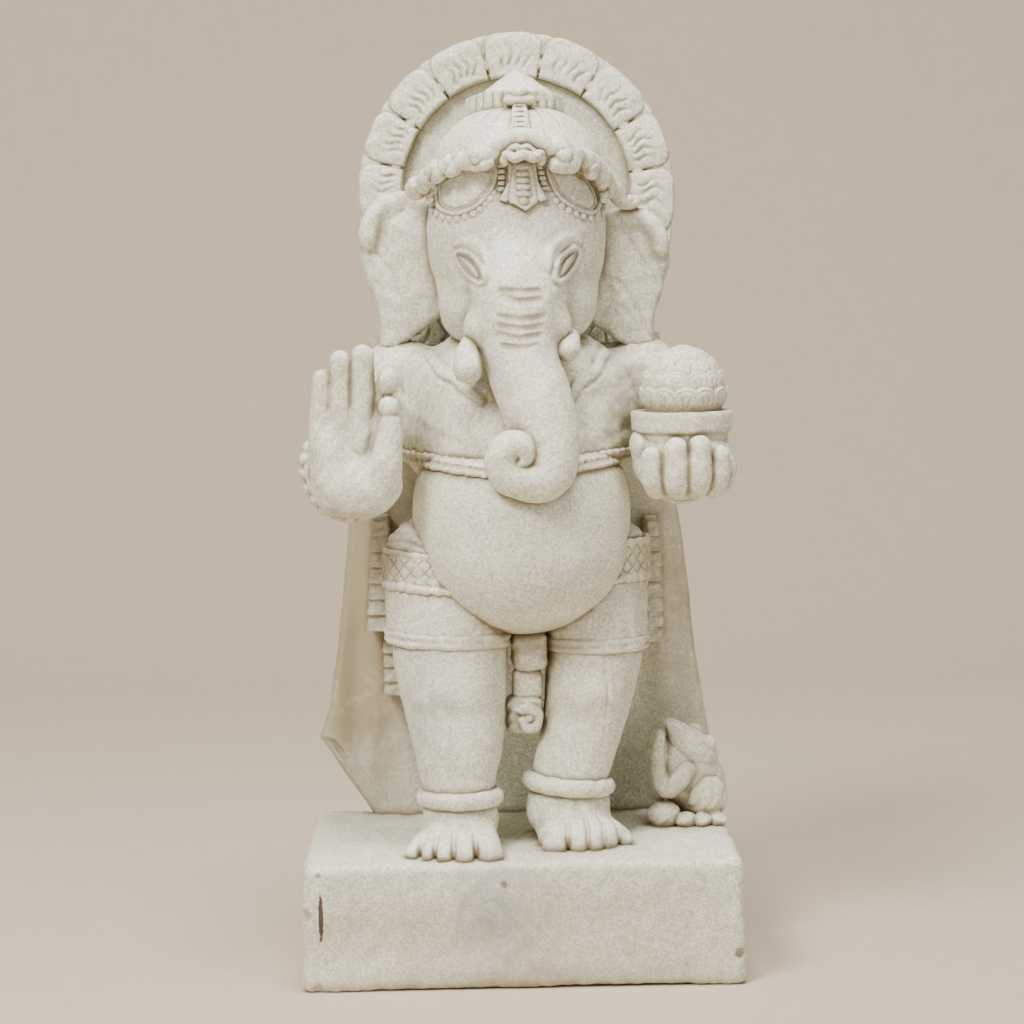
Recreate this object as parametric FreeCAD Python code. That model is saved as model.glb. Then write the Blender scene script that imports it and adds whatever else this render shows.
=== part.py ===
"""A standing elephant-headed idol, carved in the round in white marble on a block plinth.

Each carved member is one node. Members meet face to face: where two touch, the later one is cut back
by the earlier one. +X is to the left of the figure's own body, +Y is towards its back, +Z is up, and
the origin is at the middle of the plinth's underside. "right" and "left" are the figure's own sides.
All lengths are in millimetres.
"""

import FreeCAD, Part
import math
import os

V = FreeCAD.Vector

# ---- driving dimensions ----
TOTAL_H = 610.0
PLINTH_W, PLINTH_D, PLINTH_H = 278.0, 190.0, 82.0
PLINTH_EDGE, PLINTH_FOOT_EDGE = 7.0, 2.5
AXIS_X = 5.0  # the figure stands a little to its own left of the plinth's middle
BACK_Y = 92.0  # the flat dressed back of the mantle and the halo

HALO_R = 106.0
HALO_Z = TOTAL_H - HALO_R
HALO_FRONT_Y = 75.0
HALO_FOOT_Z = 405.0
HALO_FOOT_HALF = 96.0
PETAL_INNER_R, PETAL_SHOULDER_R = 79.0, 92.0
PETAL_PITCH = 22.5
PETAL_FRONT_Y = 66.0
PETAL_COUNT = 11

HEAD_X, HEAD_Y = AXIS_X + 1.5, 14.0
HEAD_CAP_Z = 522.0
RING_X, RING_Y, RING_Z = HEAD_X - 2.5, HEAD_Y + 12.0, 553.0
RING_R, RING_H, RING_RIBS, RIB_DEPTH = 31.0, 12.0, 26, 1.2
FINIAL_H = 18.0
BAND_R = 6.5
PLAQUE_X, PLAQUE_Z, PLAQUE_TURN = (-26.5, 41.0), 503.0, (-24.0, 24.0)
PLAQUE_HALF_W, PLAQUE_HALF_H = 20.0, 14.5

BELLY_X, BELLY_Y, BELLY_R = AXIS_X - 1.0, -11.0, 70.5
BELLY_LOW_Z, BELLY_WIDE_Z = 217.0, 275.0
CORD_LOW_Z, CORD_TOP_Z, NECK_Z = 322.0, 333.0, 404.0
HEM_Z = 211.0
CORE_HALF, CORE_FRONT_Y = 60.0, 60.5
# Each hanging cloth end: its middle at the top and at the foot, width, top, foot and front.
TASSELS = ((-89, -92, 13, 290, 212, 30), (-84, -82, 15, 208, 168, 38), (92, 92, 13, 284, 203, 30))
WAIST_Z = 292.0

BOWL_X, BOWL_Y, BOWL_R = 106.0, -34.0, 31.0
BOWL_RIM_LOW, BOWL_RIM_TOP = 349.5, 364.0
HEAP_H = 38.0

MIN_SOLID = 1.0  # a sliver under this volume, in mm3, is dropped after a cut


# ---- shared shapes ----
def ring_edge(rx, ry):
    """A closed edge round the origin in the XY plane, its start on +X."""
    grow = FreeCAD.Matrix()
    grow.scale(rx, ry, 1.0)
    return Part.Circle(V(0, 0, 0), V(0, 0, 1), 1.0).toShape().transformGeometry(grow)


def section(centre, rx, ry, normal=V(0, 0, 1)):
    """An elliptical wire at centre, square to normal."""
    wire = Part.Wire([ring_edge(rx, ry)])
    wire.Placement = FreeCAD.Placement(V(*centre), FreeCAD.Rotation(V(0, 0, 1), V(*normal)))
    return wire


def stack(levels):
    """A smooth solid through level ellipses, each (x, y, z, half width, half depth)."""
    wires = [section((x, y, z), rx, ry) for x, y, z, rx, ry in levels]
    return Part.makeLoft(wires, True, False)


def limb(stations):
    """A round solid of changing thickness along stations, each (x, y, z, radius), square to the path."""
    points = [V(*s[:3]) for s in stations]
    wires = []
    for i, s in enumerate(stations):
        ahead = points[min(i + 1, len(points) - 1)] - points[max(i - 1, 0)]
        ahead.normalize()
        loop = Part.Circle(points[i], ahead, s[3]).toShape()
        wires.append(Part.Wire([loop]))
    return Part.makeLoft(wires, True, False)


def ellipsoid(centre, rx, ry, rz, turn=None):
    """An ellipsoid. turn is (axis, degrees) about its own centre."""
    grow = FreeCAD.Matrix()
    grow.scale(rx, ry, rz)
    body = Part.makeSphere(1.0).transformGeometry(grow)
    if turn:
        body.rotate(V(0, 0, 0), V(*turn[0]), turn[1])
    body.translate(V(*centre))
    return body


def forward_ball(centre, radius):
    """A ball whose poles point ahead and behind, clear of the faces that cut its sides."""
    body = Part.makeSphere(radius)
    body.rotate(V(0, 0, 0), V(1, 0, 0), 90)
    body.translate(V(*centre))
    return body


def capsule(start, end, r_start, r_end):
    """A tapered round bar with ball ends."""
    a, b = V(*start), V(*end)
    along = b - a
    bar = Part.makeCone(r_start, r_end, along.Length, a, along)
    if abs(r_start - r_end) < 0.01:
        bar = Part.makeCylinder(r_start, along.Length, a, along)
    return bar.fuse([Part.makeSphere(r_start, a), Part.makeSphere(r_end, b)])


def block(low, high, edge=0.0):
    """A box between two corners, its edges rounded by edge."""
    size = V(*high) - V(*low)
    body = Part.makeBox(size.x, size.y, size.z, V(*low))
    return body.makeFillet(edge, body.Edges) if edge else body


def slab(outline, front, back):
    """A plate of an XZ outline between two Y planes."""
    face = Part.Face(outline)
    face.translate(V(0, front, 0))
    return face.extrude(V(0, back - front, 0))


def smooth_outline(points):
    """A closed smooth wire through XZ points."""
    curve = Part.BSplineCurve()
    curve.interpolate([V(x, 0, z) for x, z in points], PeriodicFlag=True)
    return Part.Wire([curve.toShape()])


def above_plinth():
    """A block that holds everything standing on the plinth's top."""
    return Part.makeBox(400, 400, 60, V(-200, -200, PLINTH_H))


def trimmed(body, *others):
    """body without what the other shapes hold, and without slivers."""
    left, room = body, body.BoundBox
    for other in others:
        if other.BoundBox.intersect(room):
            left = left.cut(other)
    solids = [s for s in left.Solids if s.Volume > MIN_SOLID]
    return solids[0] if len(solids) == 1 else Part.makeCompound(solids)


def polar(radius, degrees, x=AXIS_X, z=HALO_Z):
    """A point in the halo's plane, degrees counted from +X towards +Z."""
    a = math.radians(degrees)
    return V(x + radius * math.cos(a), 0, z + radius * math.sin(a))


def each_cut(bodies, *others):
    """Cuts each body by others and by the bodies before it, and groups what is left."""
    kept = []
    for body in bodies:
        kept += trimmed(body, *others, *kept).Solids
    return Part.makeCompound(kept)


# ---- plinth, mantle and halo ----
def plinth():
    body = Part.makeBox(PLINTH_W, PLINTH_D, PLINTH_H, V(-PLINTH_W / 2, -PLINTH_D / 2, 0))
    body = body.makeFillet(PLINTH_EDGE, [e for e in body.Edges if e.BoundBox.ZMax > 1])
    foot = [e for e in body.Edges if e.BoundBox.ZMax < 1e-3]
    return body.makeChamfer(PLINTH_FOOT_EDGE, foot)


def mantle():
    """The cloak that hangs from the shoulders to the plinth and backs the figure."""
    right_side = [
        (-96, HALO_FOOT_Z), (-104, 350), (-110.5, 290), (-115, 255), (-121, 203), (-127, 162), (-134.5, 134),
    ]
    left_side = [
        (137, PLINTH_H), (129, 125), (123.5, 157), (119, 198),
        (116, 253), (112, 300), (106, 350), (101, HALO_FOOT_Z),
    ]
    edges = []
    for side in (right_side, left_side):
        curve = Part.BSplineCurve()
        curve.interpolate([V(x, 0, z) for x, z in side])
        edges.append(curve.toShape())
    toe = V(-100, 0, PLINTH_H)
    corner = V(right_side[-1][0], 0, right_side[-1][1])
    right_top, left_top = V(right_side[0][0], 0, HALO_FOOT_Z), V(left_side[-1][0], 0, HALO_FOOT_Z)
    edges.insert(1, Part.LineSegment(corner, toe).toShape())
    edges.insert(2, Part.LineSegment(toe, V(left_side[0][0], 0, PLINTH_H)).toShape())
    edges.append(Part.LineSegment(left_top, right_top).toShape())
    body = slab(Part.Wire(edges), HALO_FRONT_Y - 3, BACK_Y)
    edge = [e for e in body.Edges if e.BoundBox.YMax < HALO_FRONT_Y and e.BoundBox.ZMax > PLINTH_H + 1
            and e.BoundBox.ZMin < HALO_FOOT_Z - 1]
    return body.makeFillet(4.0, edge)


def halo_plate():
    """The upright backing of the halo, a half disc on two slightly tapering sides."""
    radius = HALO_R - 1.5
    left_end, top, right_end = polar(radius, 0), polar(radius, 90), polar(radius, 180)
    arc = Part.Arc(left_end, top, right_end).toShape()
    sides = []
    for sign, end in ((-1, right_end), (1, left_end)):
        curve = Part.BSplineCurve()
        foot = V(AXIS_X + sign * HALO_FOOT_HALF, 0, HALO_FOOT_Z)
        middle = V(AXIS_X + sign * (HALO_R - 3.5), 0, (HALO_Z + HALO_FOOT_Z) / 2)
        curve.interpolate([end, middle, foot])
        sides.append(curve.toShape())
    foot_ends = [V(AXIS_X + sign * HALO_FOOT_HALF, 0, HALO_FOOT_Z) for sign in (-1, 1)]
    foot = Part.LineSegment(*foot_ends)
    return slab(Part.Wire([arc, sides[0], foot.toShape(), sides[1]]), HALO_FRONT_Y, BACK_Y)


def petal_angles():
    """The middles of the petals, degrees, evenly spaced about the top."""
    first = 90 - PETAL_PITCH * (PETAL_COUNT - 1) / 2
    return [first + PETAL_PITCH * i for i in range(PETAL_COUNT)]


def petal(middle):
    """One round-ended petal of the halo's border."""
    half = PETAL_PITCH / 2 - 0.6
    low = [polar(PETAL_INNER_R, middle + s * half) for s in (-1, 1)]
    high = [polar(PETAL_SHOULDER_R, middle + s * half) for s in (-1, 1)]
    tip, inner = polar(HALO_R, middle), polar(PETAL_INNER_R, middle)
    crown = Part.BSplineCurve()
    brow = [polar(HALO_R - 2.5, middle + s * half * 0.62) for s in (-1, 1)]
    crown.interpolate([high[1], brow[1], tip, brow[0], high[0]])
    edges = [
        Part.Arc(low[0], inner, low[1]).toShape(),
        Part.LineSegment(low[1], high[1]).toShape(),
        crown.toShape(),
        Part.LineSegment(high[0], low[0]).toShape(),
    ]
    return slab(Part.Wire(edges), PETAL_FRONT_Y, HALO_FRONT_Y)


def petals():
    """The petals that the ears and shoulders leave in view."""
    return Part.makeCompound([petal(a) for a in petal_angles()])


def petal_tips(border):
    """The pointed ends of a second row of petals, seen between the front ones."""
    tips = []
    for a in petal_angles()[:-1]:
        gap = a + PETAL_PITCH / 2
        root, tip = polar(PETAL_SHOULDER_R - 6, gap), polar(HALO_R, gap)
        corners = [root, polar(HALO_R - 4, gap + 5), tip, polar(HALO_R - 4, gap - 5), root]
        wire = Part.makePolygon(corners)
        tips.append(slab(wire, PETAL_FRONT_Y + 3.5, HALO_FRONT_Y))
    return each_cut(tips, border)


# ---- head ----
def head():
    x, y = HEAD_X, HEAD_Y
    return stack([
        (x, y + 4, NECK_Z, 36, 40), (x, y + 1, 420, 46, 50), (x, y, 442, 51, 57), (x, y, 470, 55, 60),
        (x, y, 500, 57.5, 61), (x, y + 1, HEAD_CAP_Z, 53, 58),
    ])


def skull_cap():
    """The rounded top of the head above the crown's band."""
    x, y = HEAD_X - 1, HEAD_Y + 2
    return stack([
        (x + 1, y - 1, HEAD_CAP_Z, 53, 58), (x, y, 533, 48, 53),
        (x, y + 2, 545, 40, 46), (x, y + 4, RING_Z, 30, 36),
    ])


def crown_ring():
    """A short fluted drum that gathers the hair."""
    edges, step = [], 2 * math.pi / RING_RIBS
    for i in range(RING_RIBS):
        points = []
        for turn, r in ((0, RING_R - RIB_DEPTH), (step / 2, RING_R), (step, RING_R - RIB_DEPTH)):
            a = i * step + turn
            points.append(V(RING_X + r * math.cos(a), RING_Y + r * math.sin(a), RING_Z))
        edges.append(Part.Arc(*points).toShape())
    return Part.Face(Part.Wire(edges)).extrude(V(0, 0, RING_H))


def finial():
    """The low pointed cap on the drum."""
    x, y, z = RING_X, RING_Y, RING_Z + RING_H
    return stack([
        (x, y, z, RING_R - 5, RING_R - 5), (x, y, z + 5, 20, 20),
        (x, y, z + 12, 11, 11), (x, y, z + FINIAL_H, 2, 2),
    ])


def trunk():
    """From the brow down over the chest to the bottom of the curl."""
    return limb([
        (5, -30, 455, 30), (5, -42, 436, 30), (7, -51, 410, 26.5), (9, -58, 390, 24.5), (14.5, -64, 372, 23.5),
        (19.5, -69, 354, 20), (23.5, -73, 340, 16), (20, -75, 324, 12.5), (11, -76, 318, 11),
    ])


def trunk_curl():
    """The rolled end of the trunk."""
    return limb([
        (15, -75.8, 319.5, 9.5), (1, -76.5, 317.5, 10.6), (-7.5, -77, 323, 10.2), (-11, -77.5, 332, 9.8),
        (-8.5, -78, 341, 9.4), (-1, -78.5, 345.5, 8.2), (5, -79, 343, 6.5),
    ])


def trunk_tip():
    """The finger at the very end, folded into the curl."""
    return capsule((5, -79, 342), (3.5, -78, 334), 5.5, 3.8)


def tusk(side):
    """A short, blunt, broken tusk. side is -1 for the figure's right."""
    if side < 0:
        return limb([
            (-22, -44, 414, 5), (-24, -49, 405, 8.5), (-26.5, -54, 394, 10), (-28.5, -57, 386, 8.8),
            (-29, -58, 381.5, 5),
        ])
    return limb([(30.5, -42, 415, 5), (32.5, -47, 408, 7.5), (34.5, -51, 400, 8), (35.5, -53, 395.5, 5.5)])


def ear(side):
    if side < 0:
        outline = [
            (-46, 490), (-62, 502), (-82, 504), (-94, 495), (-98, 480), (-97, 458), (-91.5, 434), (-86.5, 410),
            (-81, 400), (-66, 408), (-47, 423), (-43, 455),
        ]
    else:
        outline = [
            (61, 486), (74, 495), (88, 497), (99, 489), (103, 476), (101, 456), (96, 431), (93.5, 406),
            (89, 394), (76, 403), (55, 420), (52, 450),
        ]
    return slab(smooth_outline(outline), 22, 38)


def ear_rim(side):
    """The rolled upper edge of the ear, which ends in a small curl."""
    if side < 0:
        route = [
            (-52, 497, 4), (-66, 501.5, 4.6), (-81, 501, 5.2),
            (-91, 493, 5.4), (-94.5, 481, 5.2), (-93.5, 472, 4),
        ]
    else:
        route = [
            (66, 488, 4), (78, 493, 4.6), (90, 491, 5), (97.5, 481, 5), (99.5, 471, 4.8), (97.5, 464, 3.8),
        ]
    return limb([(x, 23, z, r) for x, z, r in route])


def eye(side):
    """A half-closed almond eye, its inner corner lower."""
    x = -27.5 if side < 0 else 38.0
    corners = [(-9, 0), (-4, 3.6), (4, 3.6), (9, 0), (4, -3.6), (-4, -3.6), (-9, 0)]
    almond = Part.Face(Part.makePolygon([V(a, -50, b) for a, b in corners])).extrude(V(0, 14, 0))
    almond.rotate(V(0, 0, 0), V(0, 1, 0), side * -40)
    almond.translate(V(x, 0, 458))
    return almond


def brow(side):
    x = -24 if side < 0 else 33
    route = [(-1.6, 12, 2.2), (0.8, 13, 3), (7, 7, 3.2), (9, -1, 2.6)]
    return limb([(x - side * (a - 8), -44 - 0.25 * a, 456 + b, r) for a, b, r in route])


# ---- crown ornament ----
def crown_band():
    """The rope-like roll round the forehead."""
    route = [
        (-60, 12, 503), (-54, -10, 510), (-41, -30, 519), (-20, -44, 526), (7, -50, 530), (34, -44, 525),
        (52, -28, 517), (62, -8, 508), (66, 14, 501),
    ]
    return limb([(*point, BAND_R) for point in route])


def crown_scrolls():
    """Scroll ends and balls along the roll, each a solid of its own."""
    spots = [
        (-61, -2, 504, 7), (-50, -26, 514, 5.5), (-27, -48, 528, 6), (38, -48, 522, 7.5), (57, -28, 512, 6.5),
        (66, -4, 502, 5.5),
    ]
    return [forward_ball((x, y, z), r) for x, y, z, r in spots]


def crown_knot():
    """The knot at the middle of the roll: two folded loops, one over the other."""
    upper = limb([
        (-4, -52, 526, 3), (0, -56, 530, 4), (8, -58, 531.5, 4.2), (16, -56, 530, 4), (20, -52, 526, 3),
    ])
    lower = limb([
        (-3, -54, 520, 3), (1, -58, 523.5, 4), (8, -60, 524.5, 4.2), (15, -58, 523.5, 4), (19, -54, 520, 3),
    ])
    return upper, lower


def crown_strap():
    """The beaded strap that runs up the cap from the knot to the drum."""
    return limb([(7.5, -46, 530, 4.5), (7, -42, 540, 4.2), (6, -33, 550, 4), (5, -22, 557, 4)])


def strap_boss():
    """The rounded clasp where the strap meets the drum."""
    return ellipsoid((4.5, -17, 560), 9, 5, 5)


def plaque(index):
    """A domed oval on the forehead. index is 0 for the figure's right and 1 for its left."""
    centre = (PLAQUE_X[index], -38, PLAQUE_Z)
    return ellipsoid(centre, PLAQUE_HALF_W, 4.5, PLAQUE_HALF_H, ((0, 0, 1), PLAQUE_TURN[index]))


def plaque_rim(index):
    """A raised border round the plaque."""
    loop = Part.Wire([ring_edge(PLAQUE_HALF_W, PLAQUE_HALF_H)])
    pipe = Part.Wire([Part.Circle(V(PLAQUE_HALF_W, 0, 0), V(0, 1, 0), 2.0).toShape()])
    ring = loop.makePipeShell([pipe], True, True)
    ring.rotate(V(0, 0, 0), V(1, 0, 0), 90)
    ring.rotate(V(0, 0, 0), V(0, 0, 1), PLAQUE_TURN[index])
    ring.translate(V(PLAQUE_X[index], -41.5, PLAQUE_Z))
    return ring


def plaque_beads(index):
    """The string of beads under the plaque."""
    turn, beads = FreeCAD.Rotation(V(0, 0, 1), PLAQUE_TURN[index]), []
    for i in range(10):
        a = math.radians((200, 196)[index] + 16 * i)
        offset = V((PLAQUE_HALF_W + 2.8) * math.cos(a), 0, (PLAQUE_HALF_H + 2.8) * math.sin(a))
        beads.append(Part.makeSphere(2.3, turn.multVec(offset) + V(PLAQUE_X[index], -41.8, PLAQUE_Z)))
    return beads


def forehead_pendant():
    """The tongue that hangs from the knot over the brow."""
    corners = [(1, 520), (14.5, 520), (23, 499), (8.5, 491), (-7, 499), (1, 520)]
    face = Part.Face(Part.makePolygon([V(x, -57, z) for x, z in corners]))
    return face.extrude(V(0, 12, 0))


def pendant_beads():
    """Stacked lozenges down the middle of the tongue."""
    return [ellipsoid((8.3, -57, 516 - 5.2 * i), 5.0 + 0.4 * i, 2.6, 2.9) for i in range(5)]


# ---- body ----
def belly():
    """The great round belly, turned about an upright axis."""
    low, wide, top = V(0, 0, BELLY_LOW_Z), V(BELLY_R, 0, BELLY_WIDE_Z), V(BELLY_R - 6.5, 0, CORD_LOW_Z)
    bowl_curve = Part.Ellipse(V(0, 0, BELLY_WIDE_Z), BELLY_R, BELLY_WIDE_Z - BELLY_LOW_Z)
    bowl_curve.rotate(FreeCAD.Placement(V(0, 0, BELLY_WIDE_Z), FreeCAD.Rotation(V(1, 0, 0), 90)))
    under = Part.Edge(bowl_curve, 1.5 * math.pi, 2 * math.pi)
    over = Part.Arc(wide, V(BELLY_R - 1.8, 0, 300), top).toShape()
    lid = Part.LineSegment(top, V(0, 0, CORD_LOW_Z)).toShape()
    axis = Part.LineSegment(V(0, 0, CORD_LOW_Z), low).toShape()
    body = Part.Face(Part.Wire([under, over, lid, axis])).revolve(V(0, 0, 0), V(0, 0, 1), 360)
    body.translate(V(BELLY_X, BELLY_Y, 0))
    return body


def chest():
    x = AXIS_X
    return stack([
        (x, 16, CORD_TOP_Z, 68, 52), (x, 17, 345, 74, 52), (x, 18, 368, 79, 51), (x, 22, 388, 78, 45),
        (x, 32, NECK_Z, 62, 34),
    ])


def back_core():
    """The stone left between the body and the mantle, from the hem to the shoulders."""
    depth, height = HALO_FRONT_Y - 3 - CORE_FRONT_Y, CORD_TOP_Z - HEM_Z
    return Part.makeBox(2 * CORE_HALF, depth, height, V(AXIS_X - CORE_HALF, CORE_FRONT_Y, HEM_Z))


def shoulder(side):
    x = -80 if side < 0 else 92
    return Part.makeSphere(23.0, V(x, 38, 383))


def chest_cord():
    """The course of stone whose rounded edge is the cord between the chest and the belly."""
    x, y, mid = BELLY_X, BELLY_Y + 6, (CORD_LOW_Z + CORD_TOP_Z) / 2
    return stack([(x, y, CORD_LOW_Z, 66, 62), (x, y, mid, 68.5, 65), (x, y, CORD_TOP_Z, 67, 63)])


def upper_arm(side):
    if side < 0:
        return limb([(-86, 36, 384, 19), (-96, 26, 362, 20), (-106, 14, 338, 20), (-111, 4, 322, 18)])
    return limb([(97, 36, 384, 18), (102, 26, 362, 20), (106, 14, 338, 20), (108, 4, 322, 18)])


def forearm(side):
    if side < 0:
        return limb([(-112, 6, 322, 19), (-113, -12, 322, 21), (-109, -28, 320, 20), (-104, -38, 318, 17)])
    return limb([(108, 6, 320, 18), (109, -10, 318, 19), (109, -24, 317, 18)])


def bracelet(side):
    """A plain bangle on the wrist."""
    spot = (-111, -22, 321, 20) if side < 0 else (109, -12, 318, 18)
    x, y, z, r = spot
    return Part.makeTorus(r, 4, V(x, y, z), V(0, 1, 0))


def right_palm():
    """The raised open palm, facing forward."""
    return stack([
        (-99, -47, 301, 12, 8), (-100, -48, 306, 22, 13),
        (-103, -49, 316, 29, 15.5), (-105, -50, 332, 31.5, 14.5),
        (-104.5, -51, 348, 28, 11.5), (-105.5, -52, 362, 25, 9.5),
    ])


def right_fingers():
    """Little, ring and middle finger straight up and together, and the first finger bent forward."""
    little = capsule((-123.5, -51, 352), (-120.5, -53, 387), 6.8, 6.2)
    ring = capsule((-111, -52, 354), (-109, -55, 398), 7.6, 7.0)
    middle = capsule((-97.5, -52, 354), (-96, -55, 401.5), 8.2, 7.6)
    index = limb([
        (-87, -50, 356, 6.5), (-84, -50, 372, 7), (-82, -54, 385, 7.5),
        (-80.5, -61, 388, 8), (-80.5, -66, 386, 6),
    ])
    return little, ring, middle, index


def right_thumb():
    """The thumb, standing along the palm to meet the bent finger."""
    return capsule((-80, -56, 325), (-81, -61, 369), 10.5, 8.0)


def left_palm():
    """The cupped hand under the bowl."""
    return stack([
        (109, -42, 306, 18, 14), (109, -42, 311, 25, 20), (109, -41, 321, 28.5, 24), (109, -40, 333, 29, 25),
    ])


def left_fingers():
    """Four fingers that come up over the front of the bowl, and the thumb beside it."""
    spots = [(86.5, -59, 334.5, 6.3), (101, -64, 340, 7.0), (116, -64, 340.5, 7.0), (129, -58, 333, 6.0)]
    fingers = [capsule((x + (109 - x) * 0.15, y + 2, 314), (x, y, z), r + 0.4, r) for x, y, z, r in spots]
    thumb = capsule((132.5, -44, 313), (133.5, -49, 329), 5.4, 4.8)
    return [*fingers, thumb]


def bowl():
    """A plain bowl with a broad upright rim, carved solid."""
    x, y, r = BOWL_X, BOWL_Y, BOWL_R
    body = stack([
        (x, y, 326, 18, 18), (x, y, 333, 26, 26),
        (x, y, 341, r - 2, r - 2), (x, y, BOWL_RIM_LOW, r - 1.5, r - 1.5),
    ])
    rim = Part.makeCone(r, r + 1.4, BOWL_RIM_TOP - BOWL_RIM_LOW, V(x, y, BOWL_RIM_LOW))
    rim = rim.makeFillet(1.4, [e for e in rim.Edges if e.Length > 100])
    return body.fuse(rim)


def sweet_heap():
    """The domed heap of sweets in the bowl."""
    dome = ellipsoid((BOWL_X, BOWL_Y, BOWL_RIM_TOP), 27.5, 27.5, HEAP_H - 1.5)
    keep = Part.makeBox(80, 80, 60, V(BOWL_X - 40, BOWL_Y - 40, BOWL_RIM_TOP))
    return dome.common(keep)


def heap_scales():
    """Overlapping scales laid in rows round the heap."""
    rows = [(12, 13, 7.0), (34, 11, 7.0), (56, 8, 6.5), (78, 4, 6.0)]
    scales = []
    for row, (rise, count, size) in enumerate(rows):
        up = math.radians(rise)
        for i in range(count):
            turn = 2 * math.pi * (i + 0.5 * (row % 2)) / count
            x = BOWL_X + 27.2 * math.cos(up) * math.cos(turn)
            y = BOWL_Y + 27.2 * math.cos(up) * math.sin(turn)
            z = BOWL_RIM_TOP + (HEAP_H - 2) * math.sin(up)
            scale = Part.makeSphere(size, V(0, 0, 0))
            flat = FreeCAD.Matrix()
            flat.scale(0.28, 1.0, 1.0)
            scale = scale.transformGeometry(flat)
            scale.rotate(V(0, 0, 0), V(0, 1, 0), -rise)
            scale.rotate(V(0, 0, 0), V(0, 0, 1), math.degrees(turn))
            scale.translate(V(x, y, z))
            scales.append(scale)
    return scales


# ---- cloth ----
def thigh_cloth(side):
    """One leg of the knee-length cloth, from the waist to the hem."""
    if side < 0:
        return stack([
            (-46, -14, HEM_Z, 39.5, 41), (-46, -10, 232, 40, 42),
            (-45, -2, 258, 40.5, 44), (-42, 8, WAIST_Z, 41, 44),
        ])
    return stack([
        (51.5, -2, HEM_Z, 33, 38), (51.5, -2, 232, 33.5, 40), (50, 2, 258, 34.5, 42), (48, 8, WAIST_Z, 35, 42),
    ])


def hem(side):
    """The raised border along the bottom of the cloth."""
    if side < 0:
        return stack([
            (-46, -14, HEM_Z - 4, 40, 41.5), (-46, -14, HEM_Z, 41, 42.5), (-46, -13, HEM_Z + 8, 41, 42.5),
        ])
    return stack([
        (51.5, -2, HEM_Z - 4, 33.5, 38.5), (51.5, -2, HEM_Z, 34.5, 39.5), (51.5, -2, HEM_Z + 8, 34.5, 39.5),
    ])


def hip_band(side):
    """The folded girdle over the hip."""
    if side < 0:
        return stack([(-45, -4, 249, 42, 45), (-44.5, -2, 258, 42.5, 46), (-43.5, 1, 272, 42, 46)])
    return stack([(50.5, 1, 249, 36, 43.5), (50, 2, 258, 36.5, 44), (49.5, 4, 272, 36, 44)])


def sash_upper():
    return block((-4, -26, 193), (18, 10, BELLY_LOW_Z - 0.5), 4.5)


def sash_middle():
    return block((-3, -23, 173), (16, 10, 193), 3.0)


def sash_end():
    return block((-9.5, -25, 149), (16.5, 10, 173), 4.0)


def tassel(x_top, x_low, width, top, low, front):
    """A hanging strip of cloth with stepped cross folds, standing on the mantle."""
    folds = max(3, round((top - low) / 10))
    pitch = (top - low) / folds
    steps = []
    for i in range(folds):
        share = (i + 0.5) / folds
        x = x_top + (x_low - x_top) * share
        half = width / 2 * (0.8 + 0.3 * share)
        z = top - pitch * (i + 1)
        steps.append(Part.makeBox(2 * half, HALO_FRONT_Y - 3 - front, pitch, V(x - half, front, z)))
    return steps[0].fuse(steps[1:]).removeSplitter()


# ---- legs and feet ----
def leg(side):
    if side < 0:
        return stack([
            (-39, -38, 104, 21, 23), (-39, -37, 120, 23, 25),
            (-42, -31, 150, 29.5, 31), (-43.5, -22, 182, 34.5, 36),
            (-45, -14, HEM_Z - 4, 37.5, 39),
        ])
    return stack([
        (32, -16, 106, 22, 23), (33, -15, 122, 24, 25), (40, -10, 148, 28.5, 30), (46, -5, 178, 30, 34),
        (51, -2, HEM_Z - 4, 31.5, 36.5),
    ])


def anklet(side):
    if side < 0:
        return Part.makeTorus(23.0, 6.0, V(-39, -38, 114.5))
    return Part.makeTorus(25.0, 6.0, V(32, -16, 117.5))


def foot(side):
    """The instep and heel, down to the plinth."""
    if side < 0:
        ahead = (0, -1, 0)
        stations = (
            ((-38, -12, 88), 17, 17), ((-39, -30, 90), 23, 24), ((-41, -52, 87), 26, 20),
            ((-43.5, -72, 84), 29, 13.5), ((-44, -82, 83.5), 29, 9),
        )
    else:
        ahead = (0.1, -1, 0)
        stations = (
            ((31, 10, 88), 17, 17), ((33, -8, 90), 23, 24),
            ((37, -28, 88), 25, 20), ((41.5, -46, 84.5), 28, 14),
            ((43, -55, 83.5), 28, 9),
        )
    wires = [section(centre, rx, ry, ahead) for centre, rx, ry in stations]
    return Part.makeLoft(wires, True, False).common(above_plinth())


def toes(side):
    """Five toes, the great toe on the inner side."""
    if side < 0:
        row = [
            (-21, -82, 8.2, 9.5), (-34.5, -84, 6.8, 8), (-46.5, -84, 6.2, 7.6), (-57.5, -82, 5.8, 7.2),
            (-67.5, -78, 5.4, 6.8),
        ]
    else:
        row = [
            (23, -60, 8.0, 9.5), (36, -60, 6.6, 8), (47.5, -58, 6.0, 7.6),
            (58, -54.5, 5.6, 7.2), (67, -50, 5.2, 6.8),
        ]
    return [ellipsoid((x, y, PLINTH_H + 4.5), r, r + 3, h).common(above_plinth()) for x, y, r, h in row]


# ---- mouse ----
def mouse_body():
    return ellipsoid((119, 46, 105), 18.5, 21, 25, ((0, 1, 0), -8))


def mouse_head():
    return limb([
        (126, 46, 124, 10), (121, 43, 132, 12), (113, 40, 139, 10), (105, 37, 146, 7), (100, 35, 151, 3.6),
    ])


def mouse_ears():
    return [ellipsoid((131, 34, 131), 5.5, 3.5, 6), ellipsoid((130, 52, 133), 5, 3.5, 5.5)]


def mouse_foreleg():
    """The near arm, bent at the elbow, its paw raised to the mouth."""
    paw = capsule((93.8, 25, 107), (95.6, 28, 139), 5.4, 4.2)
    arm = ellipsoid((105.5, 25, 113.5), 12.5, 5.8, 5.8, ((0, 1, 0), -31))
    return paw, arm


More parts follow.
